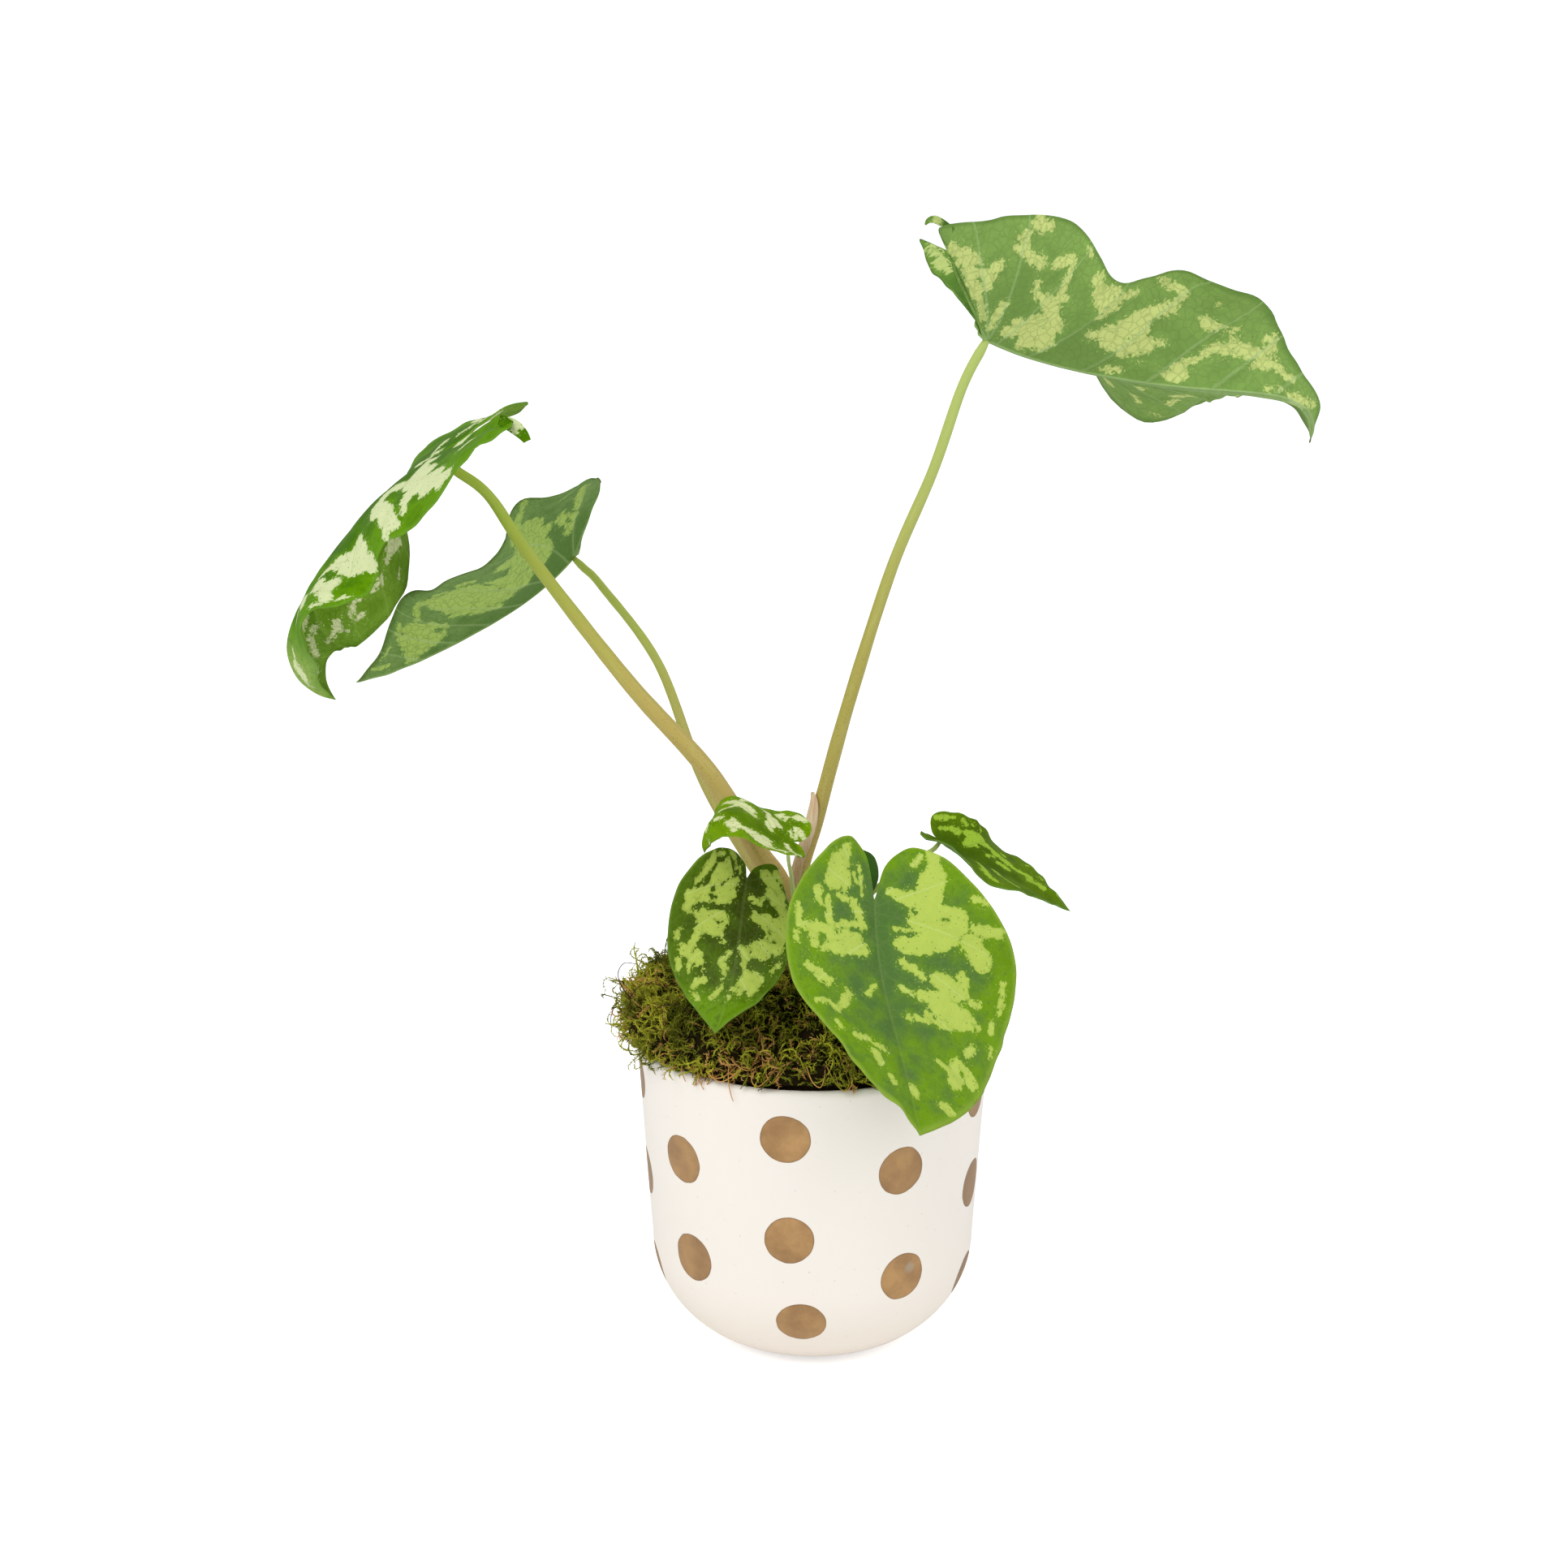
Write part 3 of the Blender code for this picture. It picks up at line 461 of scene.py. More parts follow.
# Half outline of a blade laid flat, from the notch round the lobe to the tip: (along / length, out / width)
HEART = ((-.03, 0), (-.17, .10), (-.24, .32), (-.20, .58), (-.08, .80), (.06, .92), (.20, .985), (.36, 1),
         (.52, .93), (.67, .76), (.80, .54), (.91, .28), (1, 0))
ARROW = ((-.04, 0), (-.20, .12), (-.36, .30), (-.38, .52), (-.24, .76), (-.04, .92), (.14, 1), (.32, .97),
         (.50, .84), (.66, .64), (.80, .42), (.91, .20), (1, 0))
# back stretches or shortens a half's own lobe, and the midrib's line is carried LOBE_REACH times as far as
# a usual lobe for the long ones. A nudge, for a bite or a bump, is (place on the outline, reach, mm along,
# mm out). Swing, rise, roll, lift and curl are in degrees, and full is a share of the width.
LOBE_REACH, RIB_STEPS, SEAT = 1.8, 120, .12
LEAVES = {
    1: Leaf(attach=(54.5, 0, 340), length=142, lobe=0.18, heading=29, swing=(17, -37, 60),
            rise=(-22, -11, -7, -48), roll=(-3, -36, -30),
            left=Half(width=54, lift=(35, 52, 34, 29, 39, 90), curl=(-80, -17, 23, -36, -16, -15, -6),
                      full=(0.75, 0.85, 1, 1, 1.15, 0.95, 0.9, 0.95),
                      wave=(0.2, -1, -2.3, -2.5, 1.8, 1.9, 0.9, -0.2, 0, 0.5), back=0.2,
                      nudges=((.06, .035, 3, 0), (.16, .08, 4, 0), (.33, .10, 2.2, -1), (.41, .018, 0, 2.5),
                              (.462, .022, 0, -16), (.955, .03, 0, -3))),
            right=Half(width=57, lift=(55, 38, 23, 51, 73, 18), curl=(25, 42, 34, 8, -95, -45, -12),
                      full=(1.1, 1.15, 0.8, 0.85, 0.65, 0.9, 0.45, 0.95),
                      wave=(1.1, 1.2, 1.2, 0, -0.3, -0.3, -0.7, -0.7, -0.2, 0.1), back=1.6,
                      nudges=((.215, .035, -5.3, -1), (.955, .03, 0, -3))),
            shape=ARROW),
    2: Leaf(attach=(-120.5, -8, 304), length=108, lobe=0.26, heading=185, swing=(-16, 1, 6),
            rise=(-30, -51, -64, -172), roll=(12, 17, 12),
            left=Half(width=54, lift=(-5, -17, -10, -7, -30, -56), curl=(-40, -35, -40, -65, -14, -12, 46),
                      full=(0.95, 1.4, 1.15, 1.05, 0.9, 1.25, 1.1, 0.9),
                      wave=(0, -1.5, -5.6, 2.1, 3.3, 2.4, 2.2, 1.6, 0.4, -0.6), back=1.28),
            right=Half(width=42, lift=(31, 24, 1, -43, -65, -54), curl=(-62, -13, 15, 10, -7, -43, -68),
                      full=(1, 1.05, 1.05, 0.95, 1, 0.85, 1.05, 1.35),
                      wave=(1.2, 1, -0.5, -0.9, -0.4, 1.3, 0.8, -0.5, -0.7, -0.3)),
            shape=ARROW),
    3: Leaf(attach=(-83.3, 59, 259.5), length=88, lobe=0.24, heading=199, swing=(13, -6, 11),
            rise=(-43, -30, -23, -7), roll=(38, 20, 16),
            left=Half(width=58, lift=(18, 24, 8, 25, 33, 25), curl=(-42, -41, 3, -13, -24, 28, 68),
                      full=(1.1, 1.1, 1.15, 1.05, 1.05, 1.09, 1.06, 1),
                      wave=(-1.4, -2, -0.6, 1.2, -0.1, -0.5, 0, 0.2, 0.4, 0.4), back=0.92),
            right=Half(width=40, lift=(54, 50, 40, 31, 22, 12), curl=(-3, -4, -6, -4, -3, -4, -4),
                      full=(1.05, 1.05, 1, 1, 1, 1, 1, 1),
                      wave=(0.2, 0.1, 0, -0.1, -0.1, -0.1, -0.1, -0.1, -0.1, -0.2), back=0.45),
            shape=ARROW),
    4: Leaf(attach=(-8.5, -30, 183), length=40, lobe=0.16, heading=182, swing=(-2, -2, -2),
            rise=(22, 36, -38, -109), roll=(-13, -9, -1),
            left=Half(width=15.9, lift=(-6, -3, -3, -14, -35), curl=(30, -1, -4),
                      full=(1.05, 1.05, 1, 1, 1, 1, 1, 1.1),
                      wave=(-0.8, -0.1, 1.6, 1.3, 0.1, -0.3, -0.3, -0.8)),
            right=Half(width=19.0, lift=(22, 4, -9, -13, -23), curl=(-11, -7, 4),
                       full=(1.1, 1.1, 1, 1.05, 1.05, 1.1, 1.05, 1),
                       wave=(0.5, 0.2, -0.3, -0.8, -1.1, 1.8, -0.2, -0.7)), shape=HEART),
    5: Leaf(attach=(-22, -34, 170.5), length=51, lobe=0.15, heading=249, swing=(7, 3, -14),
            rise=(-53, -67, -55, -49), roll=(-38, -5, 20),
            left=Half(width=19.6, lift=(12, -2, -6, 2, 20), curl=(-21, -3, -9),
                      full=(1.15, 1.2, 0.85, 0.9, 0.85, 0.9, 1, 1),
                      wave=(0.6, 0.6, -1.3, -0.7, -0.2, -0.2, -0.6, 0.2)),
            right=Half(width=24.2, lift=(21, 10, 3, 9, 15), curl=(6, -9, 5),
                       full=(1, 1, 1, 1, 0.95, 1.05, 1.1, 1),
                       wave=(0, 0.1, 0.1, 0, -0.3, 0, 0.1, 0.1)), shape=HEART),
    6: Leaf(attach=(19, -44, 165), length=81, lobe=0.26, heading=278, swing=(-8, 9, 0),
            rise=(-48, -45, -40, -32), roll=(-18, -23, -25),
            left=Half(width=42.8, lift=(15, 12, 6, 2, 3), curl=(0, 4, -18),
                      full=(0.95, 0.9, 0.95, 1.05, 1.1, 1.1, 1.1, 1),
                      wave=(0, 0, 0, 0.1, 0, -0.1, -0.5, 0)),
            right=Half(width=33.2, lift=(30, 19, 7, 15, 27), curl=(-6, -18, -25),
                       full=(0.85, 0.9, 0.95, 1.05, 1, 0.95, 1.15, 1),
                       wave=(0.2, 0, -0.1, -0.3, -0.6, 0.4, -1, 0)),
            shape=HEART),
    7: Leaf(attach=(42, -8, 176.5), length=49, lobe=0.14, heading=-10, swing=(-6, 7, 1),
            rise=(-27, -26, -32, -23), roll=(16, 13, 4),
            left=Half(width=19.1, lift=(21, 14, 2, 5, 6), curl=(10, -20, 10),
                      full=(1.15, 1.05, 0.8, 0.85, 1.1, 1.1, 1, 1),
                      wave=(0.3, 0.2, -0.3, 0.3, -0.3, 0.6, 0.2, -0.1)),
            right=Half(width=15.7, lift=(25, 27, 16, 18, 25), curl=(9, -4, -1),
                       full=(1, 1, 1, 1.05, 1.15, 1, 1, 1),
                       wave=(0.1, -0.4, -0.5, 1.4, -1, 0.4, -0.4, 0.2)), shape=HEART),
    8: Leaf(attach=(9.5, -12, 171), length=22, lobe=.2, heading=262, swing=(0, 0, 0),
            rise=(-33, -40, -46, -50), roll=(0, 0, 0),
            left=Half(width=12.5, lift=(8, 5, 3, 3, 3), curl=(0, 0, 0), full=(1, 1), wave=(0, 0)),
            right=Half(width=7.5, lift=(8, 5, 3, 3, 3), curl=(0, 0, 0), full=(1, 1), wave=(0, 0)),
            shape=HEART),
}


def midrib(leaf):
    """Stations along a midrib with their left and up directions: heading, rise and roll are read along it
    and its line is the running sum of its forward direction."""
    x = np.linspace(-LOBE_REACH * leaf.lobe * leaf.length, leaf.length, RIB_STEPS)
    s = np.clip(x / leaf.length, 0, 1)
    head = np.radians(leaf.heading + through(leaf.swing, s))
    rise = np.radians(through(leaf.rise, s))
    roll = np.radians(through(leaf.roll, s))[:, None]
    ahead = np.stack([np.cos(rise) * np.cos(head), np.cos(rise) * np.sin(head), np.sin(rise)], -1)
    level = np.stack([-np.sin(head), np.cos(head), 0 * head], -1)
    over = np.cross(ahead, level)
    left = np.cos(roll) * level + np.sin(roll) * over
    up = np.cos(roll) * over - np.sin(roll) * level
    line = np.concatenate([np.zeros((1, 3)), np.cumsum((ahead[1:] + ahead[:-1]) / 2 * (x[1] - x[0]), 0)])
    line -= [np.interp(0, x, line[:, k]) for k in range(3)]
    return x, line + leaf.attach, left, up


def place_blade(leaf, rib, x, y, side, edge):
    """Flat blade points in space: each half leaves the midrib at its lift angle, bends along an arc of
    curl degrees and waves up and down at its edge."""
    stations, line, left, up = rib
    half = leaf.left if side > 0 else leaf.right
    at = lambda table: np.stack([np.interp(x, stations, table[:, k]) for k in range(3)], -1)
    c, b, n = at(line), at(left), at(up)
    b /= np.linalg.norm(b, axis=-1, keepdims=True)
    n /= np.linalg.norm(n, axis=-1, keepdims=True)
    s = (x / leaf.length + leaf.lobe) / (1 + leaf.lobe)
    lift = np.radians(through(half.lift, s))
    turn = np.radians(through(half.curl, s)) * y / half.width
    chord = y * np.sinc(turn / 2 / math.pi)
    wave = through(half.wave, edge) * (y / half.width) ** 1.5
    out = chord * np.cos(lift + turn / 2) - wave * np.sin(lift + turn)
    high = chord * np.sin(lift + turn / 2) + wave * np.cos(lift + turn)
    return c + side * out[..., None] * b + high[..., None] * n


def outline_along(leaf, half, q, edge):
    """Place along the midrib of an outline's points: behind the stem the lobe is stretched by back, which
    comes in smoothly over the first eighth of the outline so that both lobes share one notch."""
    behind = leaf.lobe / -np.array(leaf.shape)[:, 0].min()
    back = 1 + (half.back - 1) * np.clip(edge / .12, 0, 1)
    return np.where(q[:, 0] < 0, q[:, 0] * behind * back, q[:, 0]) * leaf.length


def unit(v):
    """Vectors brought to length 1."""
    return v / (np.linalg.norm(v, axis=-1, keepdims=True) + 1e-12)


def blade_up(leaf):
    """Upward direction of the blade where its stem meets it: the area normal of a small ring about the seat,
    which is the outline drawn in to SEAT of its size."""
    rib = midrib(leaf)
    e = np.linspace(.05, .95, 40)
    q = through(np.array(leaf.shape), e)
    ring = [place_blade(leaf, rib, outline_along(leaf, h, q, e) * SEAT, q[:, 1] * h.width * SEAT, side, e)
            for side, h in ((1, leaf.left), (-1, leaf.right))]
    ring = np.concatenate([ring[0], ring[1][::-1]]) - leaf.attach
    return unit(np.cross(np.roll(ring, -1, 0), ring).sum(0))


def stem_rows(k, around, along):
    """Stem skin: a circle carried along the stem's curve. Its radius follows radii, swells by ribs and two
    wings on the lower half, and narrows at the very end, where it runs out just under the blade. Gives the
    rows, their flat places and the stem's length, both in units of FLAT_UNIT."""
    stem, leaf = STEMS[k], LEAVES[k]
    top = np.array(leaf.attach) - blade_up(leaf) * .25
    path = np.array([*stem.points, tuple(top)], float)
    curve = through(path, np.linspace(0, 1, 600))
    walk = np.concatenate([[0], np.cumsum(np.linalg.norm(np.diff(curve, axis=0), axis=1))])
    s = np.linspace(0, 1, along)
    mid = np.stack([np.interp(s * walk[-1], walk, curve[:, j]) for j in range(3)], 1)
    ahead = np.gradient(mid, axis=0)
    ahead[0] = (0, 0, 1)
    ahead = unit(ahead)
    side = unit(np.cross(ahead, (0, 1, .001)))
    other = np.cross(ahead, side)
    ang = np.linspace(0, 2 * np.pi, around + 1)[:-1]
    radius = through(stem.radii, s)[:, None]
    low = np.clip(1 - s / .55, 0, 1)[:, None] ** .6
    wings = .16 * low * sum(np.exp(-(np.angle(np.exp(1j * (ang - at))) / .3) ** 2) for at in WINGS_AT)
    uneven = .02 * lumps(np.stack([s * 9 * k, s * 5], -1), 1.2, k)[:, None]
    ribs = .025 * np.cos(7 * ang + 4 * s[:, None]) + uneven
    end = np.clip((s - .985) / .015, 0, 1)[:, None]
    radius = radius * (1 + wings + ribs) * (1 - .35 * end)
    ring = np.cos(ang)[:, None] * side[:, None] + np.sin(ang)[:, None] * other[:, None]
    rows = mid[:, None] + radius[..., None] * ring
    flat = np.stack([np.broadcast_to(np.linspace(0, 1, around + 1), (along, around + 1)),
                     np.broadcast_to((s * walk[-1] / FLAT_UNIT)[:, None], (along, around + 1))], -1)
    return rows, flat, walk[-1] / FLAT_UNIT


def stem_finish(k, stem, long):
    """Three tones from base to blade with lengthwise streaks, brown flecks and a waxy skin."""
    mat, tree, shader = finish_named(f"stem_skin_{k}", .45, Specular_IOR_Level=.3)
    flat = add(tree, "UVMap", {}, uv_map="flat").outputs[0]
    parts = add(tree, "SeparateXYZ", {0: flat})
    place = object_place(tree)
    streak = speckle(tree, add(tree, "Mapping", {0: flat, 3: (9, 3, 1)}).outputs[0], 1.6, 4.0, .6)
    along = calc(tree, "MULTIPLY_ADD", calc(tree, "SUBTRACT", streak, .5), .25,
                 calc(tree, "DIVIDE", parts.outputs[1], long))
    skin = blend_colours(tree, rise_between(tree, along, .12, .5), stem.base, stem.middle)
    skin = blend_colours(tree, rise_between(tree, along, .5, .95), skin, stem.top)
    skin = blend_colours(tree, times(tree, rise_between(tree, streak, .5, .75), .35), skin, STREAK)
    grain = add(tree, "TexVoronoi", {"Vector": place, "Scale": 1500.0})
    speck = rise_between(tree, grain.outputs["Distance"], .42, .2)
    chance = add(tree, "SeparateXYZ", {0: grain.outputs["Color"]}).outputs[0]
    fleck = times(tree, speck, rise_between(tree, chance, .66, .8))
    low = rise_between(tree, along, .85, .2)
    skin = blend_colours(tree, times(tree, times(tree, fleck, low), .6), skin, FLECK)
    tree.links.new(skin, shader.inputs["Base Color"])
    raise_surface(tree, shader, calc(tree, "ADD", streak, times(tree, fleck, .3)), .0003, .35)
    return mat


for k, stem in STEMS.items():
    rows, flat, long = stem_rows(k, *(TALL if k < 4 else SHORT))
    piece = shell(f"stem_{k}", rows, [stem_finish(k, stem, long)], flat=flat)
    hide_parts(f"petiole_{k}")
    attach(piece, "root")


# Leaves
# Thin, leathery blades. Dark and light green and cream lie in torn-edged splashes between the veins. The
# blade swells a little between its veins, and the veins stand out as pale ribs underneath.

# Side veins: start on the midrib, lean and bow, in blade lengths
SIDE_VEINS = ((.03, .12, .55), (.13, .62, .30), (.27, .85, .25), (.42, .95, .3), (.57, 1.05, .3),
              (.72, 1.15, .3))
LOBE_VEINS = (112, 140, 163)                 # degrees from the tip's direction
RIB_WIDE, HOLLOW_WIDE = .8, 2.4              # mm that a vein's rib and its hollow reach to either side
BLADE_THICK, SWELL, RIB, FRILL = .55, .55, .26, .4     # mm, the last three on a blade as long as USUAL
USUAL = 110
NO_SPLASH = -8.0                             # depth far from any splash
WAXY, MATTE = .12, .02                       # shine of the big hearts' upper faces, and of all others
SHADOW = .82                                 # share of its light that a shaded green keeps
# Splashes are brush strokes on the flat blade: from (along, out) to (along, out) with a half width, in mm.
# Out is + on the blade's left half and - on its right half.
SPLASHES = {
    1: ((-38, -19, -26, -20, 2), (-31, -17.5, -28, -17, 1.6), (-26, -16, -18, -11.5, 2.2),
        (-18, -11.5, -9, -6, 1.3), (-22, -17.5, -16.5, -17.5, 2), (-17.5, -18, -17, -22.5, 1.7),
        (-17.5, -17.5, -16, -15, 1.5), (-4, -4.5, -5, -9, 1.3), (-5.5, -9.5, -6.5, -12, .9),
        (-6.5, -12, -5, -13.5, .8), (-14.5, -34.5, -12.5, -31, 1.6), (-14, -30, -10.5, -30, 1.7),
        (-11, -31, -7, -29.5, 1.5), (-7.5, -29, -3, -29.5, 1.6), (-3.5, -31.5, -2.5, -29, 1.2),
        (-12.5, -39, -7, -41, 1.5), (-10, -38.5, -9, -38.5, 1.5), (-11.5, -41, -11, -42, 1),
        (3, -32, 8, -35.5, 2), (8, -36, 11, -34.5, 1.6), (11, -34, 12.5, -27, 1.4),
        (12.5, -27, 15, -22, 1.7), (15, -24, 17.5, -24, 1.2), (.5, -24, 2, -21, 1.3),
        (2, -21.5, 8, -20.5, 1.5), (8, -21, 15, -20, 2), (12, -20, 16, -17.5, 3), (15, -16, 20, -15, 3),
        (9, -13, 15, -13.5, 2.5), (5, -9.5, 13, -11, 2.6), (3.5, -6, 10, -8, 2.2), (11, -8, 20, -10, 3),
        (19, -12, 22, -14, 1.8), (13, -4.5, 21, -6.5, 2.4), (21, -9, 23, -8.5, 1.5),
        (15, -41.5, 19, -40, .9), (25, -34.5, 27, -36.5, 1.7), (27, -34, 31, -32, 2.4),
        (30, -31, 37, -33, 2.8), (36, -34, 40, -33.5, 1.3), (32, -28.5, 42, -30.5, 2.3),
        (42, -31.5, 49, -32.5, 1.3), (35, -26, 42, -27.5, 1.5), (35, -23, 38, -25, 1.2),
        (35, -15.5, 42, -17, 1.8), (41, -17, 50, -18.5, 3.2), (43, -13, 50, -14, 2.4),
        (50, -12, 58, -13.5, 3), (50, -9, 53, -9.5, 1), (58, -13.5, 63.5, -14.5, 1.1),
        (48, -20, 54, -20.5, 3.6), (54, -17, 56, -18, 1.8), (51, -23, 58, -25, 2.3),
        (58, -25.5, 65, -28, 1.9), (64.5, -28.5, 68, -32, 1.5), (66, -33, 68, -33, 1.5),
        (62, -34, 66, -33.5, 1.2), (58, -36.3, 62, -36, 1), (60.5, -35, 62.5, -34.5, 1.2),
        (62, -24.5, 65.5, -25, .5), (75.5, -24, 78, -22, 1.5), (77.5, -21, 80, -22, 1.4),
        (80, -22, 82, -21.5, 1), (86, -20.3, 86, -18.8, 1.4), (79, -31, 79.5, -30.5, .7),
        (67, -3.5, 71, -4.5, 2.2), (68.5, -6.5, 71, -7.5, 1.6), (71.5, -8, 77, -10.5, 1.2),
        (77, -11.3, 80, -13, 1.3), (80, -13.5, 86, -15, 1.8), (86, -15, 92, -14, 2),
        (84, -12.3, 90, -12.3, 1), (92, -13.5, 98, -12.5, 2.2), (95, -9.5, 103, -10.5, 1.8),
        (102, -10.5, 110.5, -7, 1.2), (97, -17.5, 99.5, -19, 1.4), (99, -17.5, 101, -15, 1.5),
        (98, -15, 101.5, -13, 1.5), (99.5, -12.8, 101.5, -12, -.6), (99.5, -2.2, 105, -2.8, .7),
        (110, -1, 116, -1, 1.4), (113, -2, 121, -2.5, 1.3), (121, -3, 126, -4.5, 1),
        (44.5, -2.6, 51, -3.4, .9), (56, -7.6, 56.6, -7.5, .35), (57.5, 37, 59, 40, .9),
        (64, 44, 65.5, 44, 1), (69, 32, 71, 29, 1.5), (70, 24, 77, 20, 1.6), (54, 24, 60, 22, 1.2),
        (50, 45, 52, 44, 1), (91, 12, 97, 11, 1), (98, 5, 106, 3, 1.6), (1.2, 45.5, .8, 41, .7),
        (.8, 41, .6, 34, 1), (.6, 34, .5, 31, .6), (8, 8, 14, 13, 2.2), (13, 14, 20, 16, 3),
        (19, 11, 25, 13, 1.8), (11, 24, 16, 28, 2.4), (16, 28, 23, 26, 2), (24, 22, 30, 27, 2.6),
        (30, 29, 37, 26, 2.1), (35, 21, 43, 19, 2.4), (35, 13, 41, 11, 1.4), (18, 38, 25, 40, 2.2),
        (27, 39, 30, 43, 1.4), (40, 34, 45, 38, 1.6), (22, 18, 22.4, 18.4, -1)),
    2: ((0, 10, 2, 20, 4), (-3, 24, 3, 26, 4.5), (-8, 34, -2, 32, 4.5), (-13, 41, -6, 38, 4),
        (-15, 44, -12, 45, 2), (1, 30, 4, 36, 3.2), (4, 38, 5, 42, 1.6), (8, 20, 14, 18, 3),
        (8, 8, 9, 9, -2), (6, 12, 7.5, 15, -1.8), (-18, 28.5, -21.5, 25.5, 1.3), (-10, 8, -16, 9, 1.8),
        (15, 18, 18, 24, 2.5), (19, 24, 20, 30, 3.2), (17, 30, 14, 38, 4), (15, 38, 12, 44, 4.2),
        (12, 46, 9, 47, 2.2), (15, 44, 16, 50, 1.6), (32, 31, 35, 33, 3.5), (31, 36, 33, 38, 2.5),
        (36, 33, 40, 36, 4), (35, 40, 31, 44, 3.5), (30, 45, 29.5, 47, 1.5), (39, 38, 42, 34, 3),
        (40, 29, 43, 27.5, 2.2), (43, 31, 46, 27, 1.8), (46, 27, 51, 27, 1.5), (52, 32, 53, 36, 2.5),
        (48, 38, 51, 40, 2.6), (51, 41, 52, 45, 2.2), (46, 48.5, 49, 47.5, 1), (54, 47.5, 57, 47.5, 1.2),
        (60, 30, 62, 38, 2.4), (37, -30, 38.5, -27, 2), (40, -24, 41.5, -23.5, 1.8),
        (36, -26, 38, -24, 1.6), (47.5, -22.3, 51, -20, 1.1), (44, -31, 45, -30.8, .6),
        (57, -15.5, 61.5, -16, 1), (61.5, -16.2, 62.3, -18.5, 1), (62.2, -19, 60, -20.6, .8),
        (55, -16.8, 57, -17, .5), (66.5, -13.8, 69.5, -14.5, 1.4), (68, -12.8, 70, -14, 1),
        (69.5, -15, 68, -18, .8), (71, -14.3, 75, -13.5, .8), (75, -13.3, 80, -12.8, .6),
        (71.5, -7.8, 74, -7, 1), (74, -7, 79, -7.6, 1.1), (79, -8, 89, -9.3, .9),
        (75.5, -7.4, 76, -7.4, -.4), (71, -3.6, 76, -3.8, 1.2), (87, -6, 91, -5.3, 1),
        (91, -6, 96, -6, 1.3), (95, -4.5, 98.5, -3.5, .9), (66, 10, 70, 13, 1.4), (82, 8, 88, 9, 1.3),
        (87, 6.5, 94, 7, 1.4), (93, 6, 98, 4.5, .9), (8, -3, 0, -4, 1.6), (3, -8, 0, -15, 1.6),
        (-8, -14, -12, -22, 3.5), (-12, -26, -8, -28, 2), (-16, -14, -20, -12, 2.5),
        (-15, -20, -18, -18, -1.2)),
    3: ((9, 58, 13, 52, 1.2), (13, 52, 18, 52, 2.6), (6, 36, 9, 33, 2.4), (4, 28, 8, 26, 2.8),
        (9, 40, 17, 46, 3.2), (15, 48, 19, 50, 2), (10, 30, 16, 36, 5), (9, 20, 13, 24, 4.5),
        (7, 17, 10, 15, 2.5), (15, 26, 19, 32, 3.5), (18, 36, 20, 42, 2.4), (-1.5, 26, -4, 28, 1.6),
        (-3, 23, -7, 20, 2.6), (-5, 17, -3, 14, 1.8), (-5, 20, -5, 20.5, -.9), (-9.5, 24, -12, 36, 1.5),
        (-12, 36, -13, 39, 1.4), (-6, 45, -3, 44, .8), (21, 40, 26, 44, 3), (18, 26, 22, 34, 3),
        (20, 18, 26, 22, 4.5), (24, 28, 30, 32, 4), (28, 18, 36, 22, 6.5), (34, 32, 42, 34, 5.5),
        (36, 42, 40, 42, 1.6), (38, 20, 44, 24, 6), (44, 32, 50, 34, 4.5), (46, 41, 49, 41, 1.6),
        (42, 16, 46, 18, 2.4), (32, 11, 40, 13, 2), (48, 27, 52, 30, 2.5), (22.5, 13.5, 25, 12.5, -.8),
        (31.5, 33, 34, 36, -.8), (50, 33, 56, 34, 1.2), (56, 34, 59, 28, 1.2), (59, 28, 60.5, 22, 1.2),
        (53, 13, 57, 16, 3.2), (57, 15, 64, 17, 4.2), (58, 9, 66, 12, 4.5), (65, 14, 69, 15, 2.2),
        (62, 6, 67, 6, 3), (66, 3, 68, 2.5, 1.4), (53, 9, 58, 7, 1.6), (53, 12, 55, 12, -1.2),
        (75, 13, 79, 9, .7), (68.5, 22, 70, 18, 1), (76, 4, 82, 5, 1.2), (4, -8, 9, -11, 2),
        (10, -13, 17, -16, 2.8), (15, -19, 19, -25, 1.9), (22, -9, 28, -11, 2), (26, -15, 31, -21, 2.4),
        (32, -23, 35, -27, 1.5), (36, -11, 43, -14, 2.6), (42, -17, 47, -21, 1.8), (50, -7, 57, -9, 2.2),
        (56, -12, 60, -15, 1.3), (64, -4, 70, -6, 1.4), (39, -12, 40, -12, -.8)),
    4: ((23, -12, 20.5, -11, 1.4), (18, -12.5, 16, -14, 1.1), (25, -5.5, 20, -6.5, 1.1),
        (19, -9, 15, -6, 2), (16, -4, 13.8, -3, 1.2), (10, -13, 8, -10, 1.5), (8, -9, 7, -4, 1.9),
        (8.5, -3, 6.5, -1, 1.2), (6.5, -9, 4.5, -5.5, 1.5), (4.5, -14, 3, -12, 1.8),
        (3.4, -11.6, 3.5, -11.6, -.5), (-1, -13, -3.5, -12, 1.4), (0, -5, -1, -2, .7),
        (-1.5, -6.5, -2, -2, .7), (-3, -6, -4, -4, 1.1), (-5, -3, -6, -2, .8), (-7, -3, -8, -1.5, .6),
        (22.5, 6.5, 20, 6, 1.1), (21, 8, 18, 9, 2), (18, 9.5, 15.5, 9, 1.2), (20.5, 11, 19, 12, 1.2),
        (20.5, 5, 20.8, 5.8, .8), (14, 9.5, 11, 10, 1.5), (11, 9, 7, 10, 2.4), (10, 12, 7, 12.5, 1.7),
        (8, 6.5, 5.5, 7, 1), (4.5, 12.5, .5, 12, 1), (.3, 4, -1.5, 9, 1), (3.5, 8.5, 2.5, 8.5, -1.5),
        (-3, 9, -4.5, 10, .8), (-3, 12.5, -5, 13.5, .9), (26.5, 1.5, 24.5, 2.5, .9),
        (30.5, .7, 32.5, 1, .8), (35, 4.5, 36, 5, 1)),
